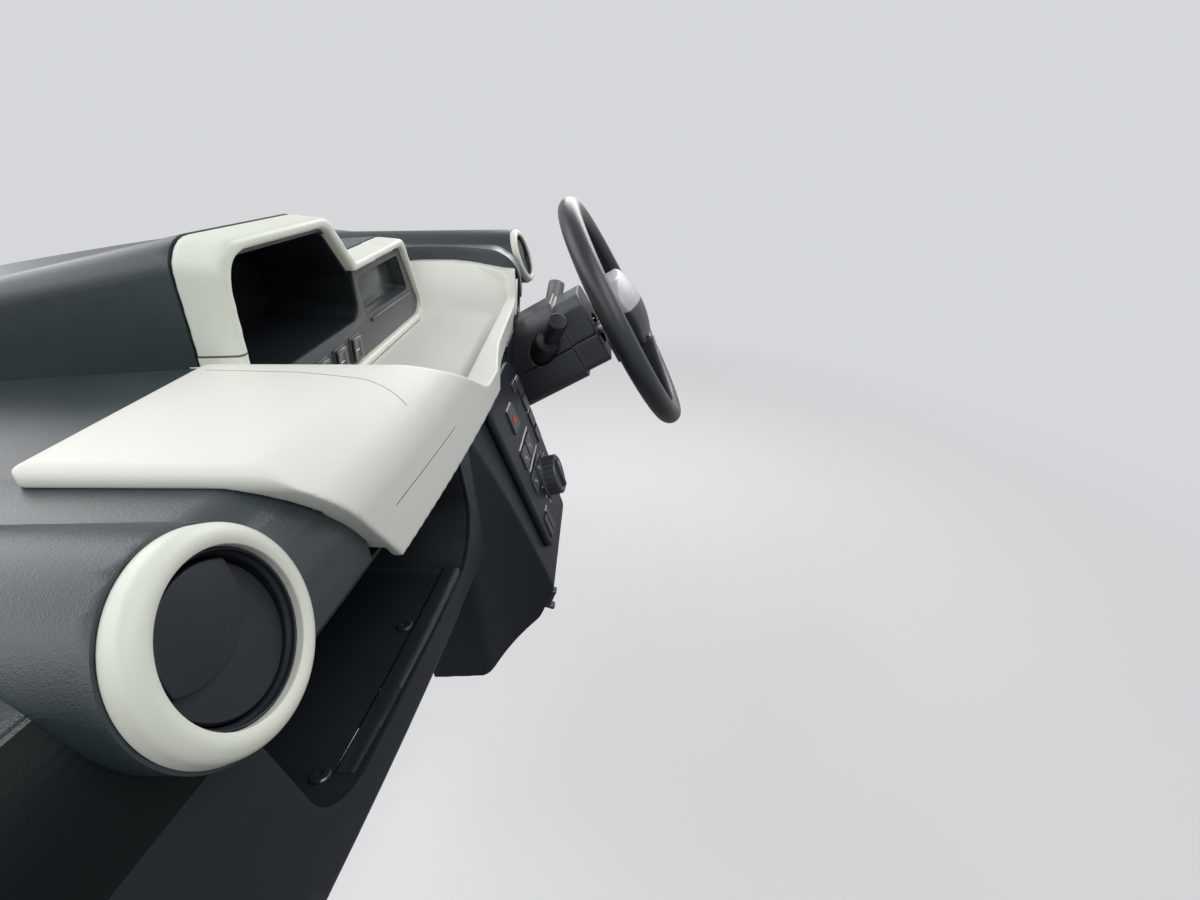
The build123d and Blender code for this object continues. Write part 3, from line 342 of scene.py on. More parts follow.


# Each as: material, colour, roughness, grain cells per metre, grain depth, tone drift, paler edges
# (rubbed wear and painted highlight)
FINISH = {
    "charcoal": finish("charcoal_moulding", (0.030, 0.042, 0.047), 0.36, 1500, 0.00009, 0.16, 0.25,
                       specular=0.7),
    "pod_skin": finish("pod_moulding", (0.020, 0.031, 0.036), 0.38, 1500, 0.00009, 0.16, 0.25,
                       specular=0.55),
    # Painted shade: a much darker charcoal for the shell's ends below the pods
    "lower": finish("painted_shade_moulding", (0.004, 0.008, 0.009), 0.50, 1500, 0.00005, 0.12, 0.1,
                    specular=0.12),
    "dark_trim": finish("dark_trim_moulding", (0.010, 0.016, 0.021), 0.44, 1700, 0.00006, 0.12, 0.3,
                        specular=0.3),
    "panel": finish("panel_moulding", (0.010, 0.015, 0.020), 0.42, 1700, 0.00006, 0.1, 0.3,
                    specular=0.3),
    "cream": finish("cream_moulding", (0.735, 0.745, 0.690), 0.46, 1500, 0.00004, 0.03),
    "cream_ring": finish("cream_frame_moulding", (0.71, 0.745, 0.66), 0.44, 1500, 0.00004, 0.03),
    "black": finish("black_moulding", (0.006, 0.010, 0.012), 0.44, 1500, 0.00006, 0.15, 0.2,
                    specular=0.35),
    "vent_black": finish("vent_moulding", (0.009, 0.014, 0.019), 0.40, 1900, 0.00003, 0.12, 0.6,
                         specular=0.3),
    "fascia": finish("fascia_moulding", (0.048, 0.056, 0.062), 0.34, 1700, 0.00006, 0.1, 0.25),
    "display": finish("meter_glass", (0.040, 0.056, 0.054), 0.26, 700, 0.00001, 0.12, coat=0.3,
                      patches=20),
    "steel": finish("black_coated_steel", (0.018, 0.019, 0.020), 0.42, 500, 0.00005, 0.15, 0.5),
    "bright_steel": finish("turned_steel", (0.50, 0.51, 0.52), 0.30, 300, 0.00002, 0.15, metal=1.0),
    "duct": finish("duct_moulding", (0.020, 0.021, 0.022), 0.55, 400, 0.00012, 0.2, 0.2),
    "urethane": finish("rim_urethane", (0.014, 0.019, 0.022), 0.38, 1900, 0.00005, 0.12),
    "pad_skin": finish("pad_moulding", (0.014, 0.019, 0.022), 0.44, 1700, 0.00006, 0.1),
    "silver": finish("satin_silver_paint", (0.40, 0.41, 0.42), 0.46, 1500, 0.00002, 0.06, metal=0.3),
    "grey_key": finish("grey_key_moulding", (0.045, 0.052, 0.060), 0.36, 1700, 0.00004, 0.1, 0.3),
    "gloss_key": finish("gloss_key_moulding", (0.014, 0.016, 0.018), 0.20, 1700, 0.00001, 0.1, 0.2,
                        coat=0.4),
    "stalk_grey": finish("stalk_tip_moulding", (0.17, 0.18, 0.18), 0.42, 1700, 0.00004, 0.08, 0.2),
    "red_mark": finish("red_mark_ink", (0.62, 0.03, 0.05), 0.45, 1200, 0.00002, 0.05),
    "white_mark": finish("white_mark_ink", (0.72, 0.74, 0.76), 0.45, 1200, 0.00002, 0.05),
}

# The airbag cover's edge beside the tray and the tear line on its rear roll
score(FINISH["cream"], [
    ((-0.2366, -0.258, 0.2), (-0.0034, -0.066, 0), (0.066, -0.0034, 0), 0.066, 0.0005),
    ((-0.240, -0.324, 0.2), (-0.017, -0.072, 0), (0.072, -0.017, 0), 0.078, 0.0005),
    ((-0.205, -0.41, 0.1515), (-1, 0, 0.018), (0.018, 0, 1), 0.107, 0.00055),
], dark=0.42)
# The foot of the hood's frame is a piece of its own
score(FINISH["cream_ring"], [
    ((-0.190, -0.2, HOOD_MIDDLE), (-1, 0, 0), (0, 0.03, 1), 0.02, 0.0007),
], dark=0.9)
# The split between the upper moulding and the lower one, beside each pod
score(FINISH["charcoal"], [
    ((-SHADE_AND_SEAM_SIDE, 0, SPLIT_LINE), (-1, 0, 0), (0, 0, 1), 0.12, 0.0008),
    ((SHADE_AND_SEAM_SIDE, 0, SPLIT_LINE), (1, 0, 0), (0, 0, 1), 0.12, 0.0008),
], dark=0.85)


# Making and finishing pieces

def only(piece):
    """Leaves one piece selected and active."""
    bpy.ops.object.select_all(action="DESELECT")
    piece.select_set(True)
    bpy.context.view_layer.objects.active = piece


def body_of_node(node):
    """The moving body that a node of the frame belongs to."""
    return frame["nodes"][node]["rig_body"]


def apply_modifier(piece, kind, **settings):
    """Adds a modifier, sets it and applies it."""
    only(piece)
    modifier = piece.modifiers.new(kind.lower(), kind)
    for key, value in settings.items():
        setattr(modifier, key, value)
    bpy.ops.object.modifier_apply(modifier=modifier.name)


def round_edges(piece, width, segments, sharper_than, **settings):
    """Rounds the edges of a piece that are sharper than an angle."""
    apply_modifier(piece, "BEVEL", width=width, segments=segments, limit_method="ANGLE",
                   angle_limit=radians(sharper_than), **settings)


def smooth(piece, angle=35):
    """Smooth shading that keeps edges sharper than an angle."""
    only(piece)
    bpy.ops.object.shade_smooth_by_angle(angle=radians(angle))


def settle(piece, finish_name, body, stands_for=()):
    """Gives a finished piece its finish and body, and the nodes that it stands for."""
    piece.data.materials.clear()
    piece.data.materials.append(FINISH[finish_name])
    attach(piece, body)
    if stands_for:
        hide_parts(*stands_for)
    return piece


def second_finish(piece, finish_name, wanted):
    """Gives another finish to the faces whose centre is wanted."""
    piece.data.materials.append(FINISH[finish_name])
    for face in piece.data.polygons:
        if wanted(face.center):
            face.material_index = 1


def copy_of(node, name):
    """A merged copy of a frame node's mesh, in an object of its own."""
    piece = bpy.data.objects.new(name, frame["nodes"][node].data.copy())
    bpy.context.scene.collection.objects.link(piece)
    only(piece)
    bpy.ops.mesh.customdata_custom_splitnormals_clear()
    bpy.ops.object.mode_set(mode="EDIT")
    bpy.ops.mesh.select_all(action="SELECT")
    bpy.ops.mesh.remove_doubles(threshold=2e-6)
    bpy.ops.mesh.dissolve_limited(angle_limit=radians(0.6))
    bpy.ops.object.mode_set(mode="OBJECT")
    return piece


def moulded(node, finish_name, edge, segments=2):
    """A moulding with its sharp edges rounded, which stands for its node."""
    piece = copy_of(node, node + "_moulded")
    if edge:
        round_edges(piece, edge, segments, 30, use_clamp_overlap=True)
    smooth(piece)
    return settle(piece, finish_name, body_of_node(node), [node])


def softened(node, finish_name, grid, passes, keep):
    """A moulding with every edge drawn round, as a soft mould gives, which stands for its node."""
    piece = copy_of(node, node + "_moulded")
    apply_modifier(piece, "REMESH", mode="VOXEL", voxel_size=grid)
    apply_modifier(piece, "SMOOTH", factor=0.5, iterations=passes)
    apply_modifier(piece, "DECIMATE", ratio=keep)
    piece.data.validate()
    smooth(piece, 60)
    return settle(piece, finish_name, body_of_node(node), [node])


def coated(node, finish_name):
    """A node that keeps its own shape and only gets a finish."""
    node_object = frame["nodes"][node]
    node_object.data.materials.clear()
    node_object.data.materials.append(FINISH[finish_name])


def split(piece, place, facing):
    """Cuts the faces of a piece along a plane, without parting it."""
    only(piece)
    bpy.ops.object.mode_set(mode="EDIT")
    bpy.ops.mesh.select_all(action="SELECT")
    bpy.ops.mesh.bisect(plane_co=place, plane_no=facing)
    bpy.ops.object.mode_set(mode="OBJECT")


def joined(pieces, name):
    """One piece from several, each with its place in its own mesh."""
    bpy.ops.object.select_all(action="DESELECT")
    for piece in pieces:
        piece.select_set(True)
    bpy.context.view_layer.objects.active = pieces[0]
    bpy.ops.object.join()
    pieces[0].name = name
    return pieces[0]


def set_into(piece, plane):
    """Moves a piece's mesh from the origin to a plane of the dash."""
    piece.data.transform(plane)
    return piece


def unit_block():
    """A block of one metre, to be shaped."""
    bpy.ops.object.select_all(action="DESELECT")
    bpy.ops.mesh.primitive_cube_add(size=1)
    return bpy.context.object


def blank_piece():
    """A piece in edit mode, and its empty mesh to draw in."""
    bpy.ops.object.select_all(action="DESELECT")
    bpy.ops.mesh.primitive_plane_add(size=0.001)
    piece = bpy.context.object
    bpy.ops.object.mode_set(mode="EDIT")
    shape = bmesh.from_edit_mesh(piece.data)
    bmesh.ops.delete(shape, geom=list(shape.verts), context="VERTS")
    return piece, shape


def merge_and_face_out():
    """Merges the edited mesh's doubled points and turns its faces outwards, then leaves edit mode."""
    bpy.ops.mesh.select_all(action="SELECT")
    bpy.ops.mesh.remove_doubles(threshold=1e-6)
    bpy.ops.mesh.normals_make_consistent(inside=False)
    bpy.ops.object.mode_set(mode="OBJECT")


def edit_faces(piece, wanted):
    """Goes into edit mode with only the wanted faces selected."""
    bpy.ops.object.mode_set(mode="EDIT")
    bpy.ops.mesh.select_mode(type="FACE")
    bpy.ops.mesh.select_all(action="DESELECT")
    shape = bmesh.from_edit_mesh(piece.data)
    for face in shape.faces:
        face.select_set(wanted(face))
    bmesh.update_edit_mesh(piece.data)


def faces_up(face):
    """Whether a face looks along Z."""
    return face.normal.z > 0.9


def key_cap(across, up, width, height, low, high, dished=0.0, round_off=0.0008):
    """A key or plate with rounded edges on the XY plane, its top dished by an amount."""
    key = unit_block()
    key.data.transform(Matrix.Translation((across, up, (low + high) / 2))
                       @ Matrix.Diagonal((width, height, high - low, 1)))
    if dished:
        edit_faces(key, faces_up)
        bpy.ops.mesh.inset(thickness=min(width, height) * 0.16, depth=0)
        bpy.ops.mesh.inset(thickness=min(width, height) * 0.12, depth=-dished)
        bpy.ops.object.mode_set(mode="OBJECT")
    round_edges(key, round_off, 3, 40)
    smooth(key, 40)
    return key


def wedge(name, near, far, low, round_off):
    """A tapering bar on the XY plane; each end is given as (up, left edge, right edge, height)."""
    bar = unit_block()
    bar.name = name
    for vert in bar.data.vertices:
        up, left, right, height = near if vert.co.y > 0 else far
        vert.co = (left if vert.co.x < 0 else right, up, height if vert.co.z > 0 else low)
    round_edges(bar, round_off, 5, 40)
    smooth(bar, 40)
    return bar


def turned(name, rows, steps):
    """A piece turned about the Z axis, from rows of (radius, height) that start and end on the axis."""
    piece, shape = blank_piece()
    last = None
    for radius, height in rows:
        vert = shape.verts.new((radius, 0, height))
        if last:
            shape.edges.new((last, vert))
        last = vert
    bmesh.update_edit_mesh(piece.data)
    bpy.ops.mesh.select_all(action="SELECT")
    bpy.ops.mesh.spin(steps=steps, angle=2 * pi, center=(0, 0, 0), axis=(0, 0, 1), use_auto_merge=True)
    merge_and_face_out()
    piece.name = name
    smooth(piece, 30)
    return piece


# Mouldings and steel

def dress_frame():
    """Finishes of all mouldings and of the steel and ducts behind them."""
    shell = moulded("dash_shell", "charcoal", edge=0.0012, segments=3)
    split(shell, (0, 0, PAINTED_SHADE_TOP), (0, 0, 1))
    split(shell, (-SHADE_AND_SEAM_SIDE, 0, 0), (1, 0, 0))
    split(shell, (SHADE_AND_SEAM_SIDE, 0, 0), (1, 0, 0))
    # The shell's ends below the pods take the much darker finish as painted shade
    second_finish(shell, "lower", lambda centre: abs(centre.x) > SHADE_AND_SEAM_SIDE and centre.z < PAINTED_SHADE_TOP)
    for side in ("left", "right"):
        moulded("vent_pod_" + side, "pod_skin", edge=0.0006)
    moulded("hood_cowl", "pod_skin", edge=0.0030, segments=4)
    moulded("lower_panel_left", "dark_trim", edge=0.0010, segments=3)
    for side in ("left", "right"):
        moulded("side_cover_" + side, "charcoal", edge=0.0006)
    moulded("knee_panel", "dark_trim", edge=0.0010)
    softened("centre_stack", "dark_trim", grid=0.0015, passes=14, keep=0.25)
    for half in ("upper", "lower"):
        softened("shroud_" + half, "fascia", grid=0.0014, passes=8, keep=0.35)
    softened("top_panel", "cream", grid=0.0010, passes=16, keep=0.2)
    softened("hood_ring", "cream_ring", grid=0.0015, passes=44, keep=0.5)
    for side in ("left", "right"):
        moulded("vent_ring_" + side, "cream_ring", edge=0.0012, segments=4)
    for side in ("left", "right"):
        moulded("vent_sleeve_" + side, "vent_black", edge=0.0006, segments=3)
    moulded("pocket_liner", "black", edge=0.0016, segments=4)
    moulded("shelf_tray", "black", edge=0.0012, segments=3)
    moulded("switch_body", "black", edge=0.0012)
    moulded("gauge_fascia", "fascia", edge=0.0014, segments=4)
    moulded("gauge_case", "fascia", edge=0.0008)
    softened("control_panel", "panel", grid=0.0011, passes=30, keep=0.4)
    moulded("gauge_display", "display", edge=0.0004)
    moulded("wheel_rim", "urethane", edge=0)
    moulded("wheel_spokes", "pad_skin", edge=0.0025, segments=4)
    for node in ("cross_beam", "cowl_bracket", "column_bracket", "deck_struts", "column_jacket"):
        coated(node, "steel")
    coated("steering_shaft", "bright_steel")
    for node in ("heater_case", "air_duct_left", "air_duct_right"):
        coated(node, "duct")


# Vents

VENT_PLACE = (0.430, -0.380, 0.175)
VENT_TOE = radians(4.3)
VENT_TILT = radians(16)
VENT_BORE = 0.0318
FLAP_SET_IN = 0.0015
FLAP_TURN = radians(-4)
LEAF_SHIFT = Vector((-0.0090, 0.0255, 0))
LEAF_RADIUS = VENT_BORE - 0.0006
LEAF_STEPS = 192


def vent_face(sign, proud):
    """Matrix of a vent's face, moved out of the dash by a distance."""
    out = Vector((-sign * sin(VENT_TOE) * cos(VENT_TILT), -cos(VENT_TOE) * cos(VENT_TILT),
                  sin(VENT_TILT)))
    across = Vector((0, 0, 1)).cross(out).normalized()
    rows = Matrix((across, out.cross(across), out)).transposed()
    x, y, z = VENT_PLACE
    return Matrix.Translation(Vector((sign * x, y, z)) + out * proud) @ rows.to_4x4()


def flap_leaf():
    """Plate in the outline that two round discs share, one of them shifted."""
    rim = []
    for step in range(LEAF_STEPS):
        turn = 2 * pi * step / LEAF_STEPS
        spoke = Vector((cos(turn), sin(turn), 0)) * LEAF_RADIUS
        for centre, other in ((Vector(), LEAF_SHIFT), (LEAF_SHIFT, Vector())):
            point = centre + spoke
            if (point - other).length <= LEAF_RADIUS:
                rim.append(point)
    middle = sum(rim, Vector()) / len(rim)
    rim.sort(key=lambda point: atan2(point.y - middle.y, point.x - middle.x))
    leaf, shape = blank_piece()
    shape.faces.new([shape.verts.new(point - Vector((0, 0, 0.0006))) for point in rim])
    bmesh.update_edit_mesh(leaf.data)
    bpy.ops.mesh.select_all(action="SELECT")
    bpy.ops.mesh.remove_doubles(threshold=1e-6)
    bpy.ops.mesh.extrude_region_move(TRANSFORM_OT_translate={"value": (0, 0, 0.0058)})
    bpy.ops.mesh.select_all(action="SELECT")
    bpy.ops.mesh.normals_make_consistent(inside=False)
    bpy.ops.object.mode_set(mode="OBJECT")
    round_edges(leaf, 0.0011, 3, 50)
    smooth(leaf, 40)
    return leaf


def air_flap(side, sign):
    """Round flap that closes a vent's bore: a low disc, and on it a leaf moved up and to the left."""
    disc = turned("air_flap_" + side, [
        (0, -0.0030), (VENT_BORE - 0.0008, -0.0030), (VENT_BORE, -0.0024), (VENT_BORE, -0.0008),
        (VENT_BORE - 0.0008, 0), (0, 0),
    ], steps=96)
    leaf = flap_leaf()
    leaf.name = "air_flap_leaf_" + side
    place = vent_face(sign, -FLAP_SET_IN) @ Matrix.Rotation(FLAP_TURN, 4, "X")
    settle(set_into(disc, place), "black", "panel", ["vent_flap_" + side])
    settle(set_into(leaf, place), "vent_black", "panel")


# Column and steering wheel

def stalks():
    """Two levers beside the column, the left one black and the right one grey."""
    for node, finish_name in (("stalk_left", "black"), ("stalk_right", "stalk_grey")):
        moulded(node, finish_name, edge=0.0010, segments=3)


def wheel_cover():
    """The pad over the wheel's hub, its upper part a silver cap and its lower part dark."""
    pad = copy_of("wheel_pad", "wheel_pad_moulded")
    cut = WHEEL_FACE @ Vector((0, 0.020, 0))
    facing = (WHEEL_FACE.to_3x3() @ Vector((0, 1, 0.18))).normalized()
    split(pad, cut, facing)
    smooth(pad, 40)
    settle(pad, "pad_skin", body_of_node("wheel_pad"), ["wheel_pad"])
    second_finish(pad, "silver", lambda centre: (centre - cut).dot(facing) > 0)


def lower_spoke_cover():
    """Cover that joins the pad to the rim's foot, with a bright strip along each side."""
    cover = wedge("lower_spoke_cover", near=(-0.034, -0.047, 0.047, 0.026),
                  far=(-0.154, -0.034, 0.034, 0.009), low=-0.004, round_off=0.006)
    settle(set_into(cover, WHEEL_FACE), "pad_skin", "steering")
    half_strip = 0.0022
    strips = []
    for side in (-1, 1):
        near, far = side * 0.0385, side * 0.0285
        strips.append(wedge("strip", near=(-0.062, near - half_strip, near + half_strip, 0.0234),
                            far=(-0.149, far - half_strip, far + half_strip, 0.0110), low=0.004,
                            round_off=0.0008))
    strips = joined(strips, "lower_spoke_strips")
    settle(set_into(strips, WHEEL_FACE), "silver", "steering", ["wheel_trim"])


# Small controls

MARK_ROUND_OFF = 0.0002
ROCKERS_ACROSS = (-0.088, -0.049, -0.010)
ROCKERS_UP = 0.149 - HOOD_MIDDLE
LEDGE_UP = 0.1665 - HOOD_MIDDLE

# Keys of the control panel as (across, down, width, height)
WARNING_KEY = (-0.0145, 0.0565, 0.030, 0.029)
MARKED_KEYS = (
    (-0.027, 0.104, 0.027, 0.023), (0.005, 0.104, 0.027, 0.023),
    (-0.027, 0.139, 0.027, 0.023), (0.005, 0.139, 0.027, 0.023),
)
PLAIN_KEYS = (
    (-0.030, 0.197, 0.012, 0.030), (-0.046, 0.197, 0.012, 0.030),
    (0.062, 0.046, 0.020, 0.020), (0.062, 0.070, 0.020, 0.020), (0.062, 0.094, 0.020, 0.020),
    (0.062, 0.118, 0.020, 0.020), (0.038, 0.036, 0.018, 0.012),
)
# White bars over the keys, painted highlights along the slots' edges, in the same order of measures
SLOT_HIGHLIGHTS = (
    (-0.007, 0.0882, 0.062, 0.0022), (0.001, 0.1222, 0.066, 0.0022), (-0.030, 0.181, 0.012, 0.0014),
    (-0.0145, 0.0400, 0.026, 0.0012), (0.062, 0.0335, 0.016, 0.0012), (0.062, 0.0825, 0.016, 0.0012),
)

DIAL_FACE = STACK_FACE @ Matrix.Translation((0.026, -0.168, PANEL_PROUD))
DIAL_RIBS = 24
DIAL_MARKS = 11
DIAL_FIRST_MARK = -135
DIAL_MARK_STEP = 27


def rockers():
    """Three gloss rockers in frames under the hood's pocket, each with a small bar mark."""
    frames, caps, marks = [], [], []
    for across in ROCKERS_ACROSS:
        frames.append(key_cap(across, ROCKERS_UP, 0.025, 0.030, 0, 0.0014, round_off=0.0006))
        caps.append(key_cap(across, ROCKERS_UP, 0.021, 0.026, 0.0004, 0.0044, dished=0.0012,
                            round_off=0.0007))
        marks.append(key_cap(across, ROCKERS_UP - 0.001, 0.008, 0.0014, 0.0028, 0.0034,
                             round_off=MARK_ROUND_OFF))
    settle(set_into(joined(frames, "rocker_frames"), FASCIA_FACE), "fascia", "panel")
    settle(set_into(joined(caps, "rocker_caps"), FASCIA_FACE), "gloss_key", "panel",
           ["rocker_switches"])
    settle(set_into(joined(marks, "rocker_marks"), FASCIA_FACE), "white_mark", "panel")


def meter_ledge():
    """Raised ledge under the meter's mouth, which catches the light."""
    ledge = key_cap(0.112, LEDGE_UP, 0.138, 0.0042, -0.0004, 0.0026, round_off=0.0010)
    settle(set_into(ledge, FASCIA_FACE), "grey_key", "panel")
    ledge.name = "meter_ledge"


def panel_keys():
    """Keys of the control panel, white bars over them as painted highlights along the slots' edges, and
    marks on the marked keys.
    """
    caps = [key_cap(across, -down, width, height, -0.0004, 0.0022, dished=0.0005)
            for across, down, width, height in (*MARKED_KEYS, *PLAIN_KEYS, WARNING_KEY)]
    settle(set_into(joined(caps, "control_keys"), PANEL_FACE), "grey_key", "panel",
           ["control_buttons"])
    # White bars as painted highlights along the slots' edges, then the printed marks on the marked keys
    highlights_and_marks = [key_cap(across, -down, width, height, -0.0002, 0.0012, round_off=0.0003)
            for across, down, width, height in SLOT_HIGHLIGHTS]
    highlights_and_marks += [key_cap(across, -down, 0.005, 0.0016, 0.0014, 0.0019, round_off=MARK_ROUND_OFF)
             for across, down, _, _ in MARKED_KEYS]
    highlights_and_marks += [key_cap(across + 0.003, -down - 0.004, 0.0016, 0.004, 0.0014, 0.0019,
                     round_off=MARK_ROUND_OFF)
             for across, down, _, _ in MARKED_KEYS]
    settle(set_into(joined(highlights_and_marks, "panel_highlights_and_marks"), PANEL_FACE), "white_mark", "panel")


def warning_triangle():
    """The red triangle on the warning key, with a raised border."""
    bpy.ops.object.select_all(action="DESELECT")
    bpy.ops.mesh.primitive_cylinder_add(vertices=3, radius=0.0085, depth=0.0006,
                                        location=(WARNING_KEY[0], -WARNING_KEY[1] - 0.001, 0.0019))
    triangle = bpy.context.object
    bpy.ops.object.transform_apply(location=True, rotation=True, scale=True)
    edit_faces(triangle, faces_up)
    bpy.ops.mesh.inset(thickness=0.0016, depth=0)
    bpy.ops.mesh.inset(thickness=0.0004, depth=-0.0003)
    bpy.ops.object.mode_set(mode="OBJECT")
    triangle.name = "warning_triangle"
    settle(set_into(triangle, PANEL_FACE), "red_mark", "panel")


def dial_rib(face):
    """Whether a face of the knob's side belongs to a rib."""
    middle = face.calc_center_median()
    turn = atan2(middle.y, middle.x) / (2 * pi) * DIAL_RIBS
    return abs(face.normal.z) < 0.1 and middle.z > 0.005 and turn % 1 < 0.5


def fan_dial():
    """Ribbed dial on its collar, with a pointer and a ring of marks on the panel."""
    knob = turned("dial_knob", [
        (0, 0), (0.030, 0), (0.030, 0.0022), (0.0292, 0.003), (0.0262, 0.0032), (0.0262, 0.0180),
        (0.0252, 0.0196), (0.0236, 0.0200), (0.0222, 0.0192), (0, 0.0188),
    ], steps=96)
    edit_faces(knob, dial_rib)
    bpy.ops.mesh.extrude_region_shrink_fatten(TRANSFORM_OT_shrink_fatten={"value": 0.0009})
    bpy.ops.object.mode_set(mode="OBJECT")
    smooth(knob, 30)
    settle(set_into(knob, DIAL_FACE), "grey_key", "panel", ["climate_dial"])
    grip = key_cap(0, 0, 0.0075, 0.040, 0.0180, 0.0232, round_off=0.0012)
    grip.name = "dial_grip"
    settle(set_into(grip, DIAL_FACE), "fascia", "panel")
    marks = [key_cap(0, 0.0145, 0.0016, 0.009, 0.0229, 0.0236, round_off=MARK_ROUND_OFF)]
    for step in range(DIAL_MARKS):
        mark = key_cap(0, 0.0345, 0.0011, 0.0042, -0.0002, 0.0005, round_off=MARK_ROUND_OFF)
        angle = radians(DIAL_FIRST_MARK + DIAL_MARK_STEP * step)
        mark.data.transform(Matrix.Rotation(-angle, 4, "Z"))
        marks.append(mark)
    settle(set_into(joined(marks, "dial_marks"), DIAL_FACE), "white_mark", "panel")


# Fastenings

def shelf_screws():
    """Two sunk screws that hold the shelf from inside."""
    for name, place, lean in (("shelf_screw_far", (-0.281, -0.372, 0.0120), 0.0),
                              ("shelf_screw_near", (-0.398, -0.360, 0.0140), 0.25)):
        screw = turned(name, [
            (0, 0), (0.0062, 0), (0.0062, 0.0017), (0.0054, 0.0026), (0.0024, 0.0029),
            (0.0020, 0.0014), (0, 0.0014),
        ], steps=32)
        plane = Matrix.Translation(place) @ Matrix.Rotation(lean, 4, "Y")
        settle(set_into(screw, plane), "gloss_key", "panel")


def bag_hook():
    """Small hook on the stack's left flank, over the footwell."""
    plate = key_cap(0, 0, 0.010, 0.031, -0.002, 0.0045, round_off=0.0018)
    lip = key_cap(0, -0.0125, 0.010, 0.006, 0.0010, 0.0110, round_off=0.0018)
    out = Vector((0, -0.93, -0.37)).normalized()
    place = Matrix.Translation((-0.086, -0.4625, -0.155)) @ leaning_plane(Vector(), out)
    settle(set_into(joined([plate, lip], "bag_hook"), place), "gloss_key", "panel")


# Floor, light and camera

WORLD_TINT = (0.955, 0.98, 1.0)
WORLD_SEEN = 0.70
WORLD_FILL = 0.20
FLOOR_FILL = 0.30
FLOOR_HEIGHT = -0.62
FLOOR_TONES = ((0.74, 0.75, 0.76, 1), (0.79, 0.80, 0.81, 1))
FADE_START, FADE_END = 0.7, 2.8

# Lamps as (name, place, point that it faces, width and height, watts)
LAMPS = (
    ("windscreen_light", (-0.1, 1.15, 1.05), (0, -0.3, 0.1), (2.6, 1.3), 26),
    ("right_window_light", (1.7, -0.95, 0.95), (-0.1, -0.35, 0.15), (1.8, 0.8), 24),
    ("rear_light", (-0.55, -1.7, 1.75), (-0.2, -0.4, 0.15), (2.0, 1.2), 26),
    ("left_window_light", (-1.6, 0.25, 1.15), (-0.3, -0.2, 0.1), (1.4, 0.9), 8),
)

VIEW_PLACE = (-0.571, -0.530, 0.342)
VIEW_PITCH = radians(29.9)
VIEW_YAW = radians(0.35)
VIEW_LENS = 15.6
VIEW_SENSOR = 36


def backdrop_level(tree):
    """Strength of the backdrop: pale where it is seen or mirrored, low where it only fills."""
    rays = tree.nodes.new("ShaderNodeLightPath")
    seen = worked_out(tree, "MAXIMUM", rays.outputs["Is Camera Ray"],
                      rays.outputs["Is Transmission Ray"])
    seen = worked_out(tree, "MAXIMUM", seen, rays.outputs["Is Glossy Ray"])
    more = worked_out(tree, "MULTIPLY", seen, WORLD_SEEN - WORLD_FILL)
    return worked_out(tree, "ADD", more, WORLD_FILL)


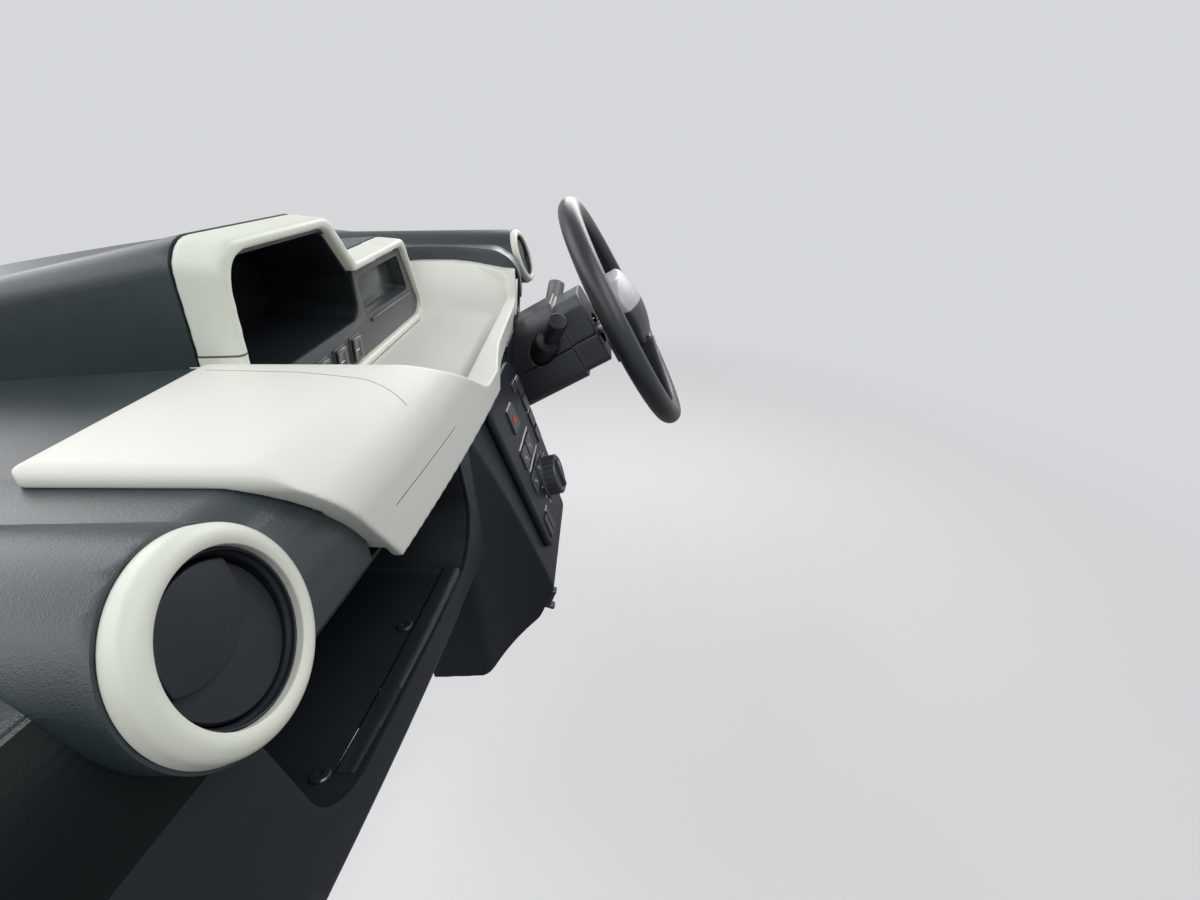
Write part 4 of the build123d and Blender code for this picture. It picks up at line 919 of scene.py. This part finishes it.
def pale_floor():
    """Pale studio floor well below the dash, which fades into the backdrop further out."""
    bpy.ops.object.select_all(action="DESELECT")
    bpy.ops.mesh.primitive_plane_add(size=60, location=(0, 0, FLOOR_HEIGHT))
    floor = bpy.context.object
    floor.name = "floor"
    material = bpy.data.materials.new("pale_floor")
    material.use_nodes = True
    tree = material.node_tree
    shader = tree.nodes["Principled BSDF"]
    shader.inputs["Roughness"].default_value = 0.9
    shader.inputs["Specular IOR Level"].default_value = 0.1
    tint = blend_of(tree, cloud_of(tree, 1.5), *FLOOR_TONES)
    # Bright for the camera, and darker where the floor only sends light back up
    rays = tree.nodes.new("ShaderNodeLightPath")
    shade = worked_out(tree, "MULTIPLY", rays.outputs["Is Camera Ray"], 1 - FLOOR_FILL)
    dimmed = scaled(tree, tint, worked_out(tree, "ADD", shade, FLOOR_FILL))
    tree.links.new(dimmed, shader.inputs["Base Color"])
    far = tree.nodes.new("ShaderNodeVectorMath")
    far.operation = "LENGTH"
    tree.links.new(own_place(tree), far.inputs[0])
    fade = tree.nodes.new("ShaderNodeMapRange")
    fade.interpolation_type = "SMOOTHSTEP"
    fade.inputs["From Min"].default_value = FADE_START
    fade.inputs["From Max"].default_value = FADE_END
    tree.links.new(far.outputs["Value"], fade.inputs["Value"])
    glow = tree.nodes.new("ShaderNodeEmission")
    glow.inputs["Color"].default_value = (*WORLD_TINT, 1)
    tree.links.new(backdrop_level(tree), glow.inputs["Strength"])
    both = tree.nodes.new("ShaderNodeMixShader")
    tree.links.new(fade.outputs["Result"], both.inputs[0])
    tree.links.new(shader.outputs[0], both.inputs[1])
    tree.links.new(glow.outputs[0], both.inputs[2])
    tree.links.new(both.outputs[0], tree.nodes["Material Output"].inputs["Surface"])
    floor.data.materials.append(material)


def lamp(name, place, aim, size, power):
    """A soft rectangular lamp that faces a point."""
    bpy.ops.object.light_add(type="AREA", location=place)
    light = bpy.context.object
    light.name = name
    light.data.shape = "RECTANGLE"
    light.data.size, light.data.size_y = size
    light.data.energy = power
    light.rotation_euler = (Vector(aim) - Vector(place)).to_track_quat("-Z", "Y").to_euler()


def studio():
    """Daylight from the windscreen and the side windows, and a pale world."""
    for row in LAMPS:
        lamp(*row)
    world = bpy.data.worlds.new("studio")
    bpy.context.scene.world = world
    world.use_nodes = True
    tree = world.node_tree
    background = tree.nodes["Background"]
    background.inputs["Color"].default_value = (*WORLD_TINT, 1)
    tree.links.new(backdrop_level(tree), background.inputs["Strength"])


def camera():
    """Camera at the photograph's viewing angle, beside the left door and looking across the car."""
    forward = Vector((cos(VIEW_PITCH) * cos(VIEW_YAW), cos(VIEW_PITCH) * sin(VIEW_YAW),
                      -sin(VIEW_PITCH)))
    bpy.ops.object.camera_add(location=VIEW_PLACE,
                              rotation=forward.to_track_quat("-Z", "Y").to_euler())
    view = bpy.context.object
    view.data.lens = VIEW_LENS
    view.data.sensor_width = VIEW_SENSOR
    view.data.clip_start = 0.02
    bpy.context.scene.camera = view
    bpy.context.scene.view_settings.view_transform = "Standard"


dress_frame()
air_flap("left", -1)
air_flap("right", 1)
stalks()
wheel_cover()
lower_spoke_cover()
rockers()
meter_ledge()
panel_keys()
warning_triangle()
fan_dial()
shelf_screws()
bag_hook()
pale_floor()
studio()
camera()
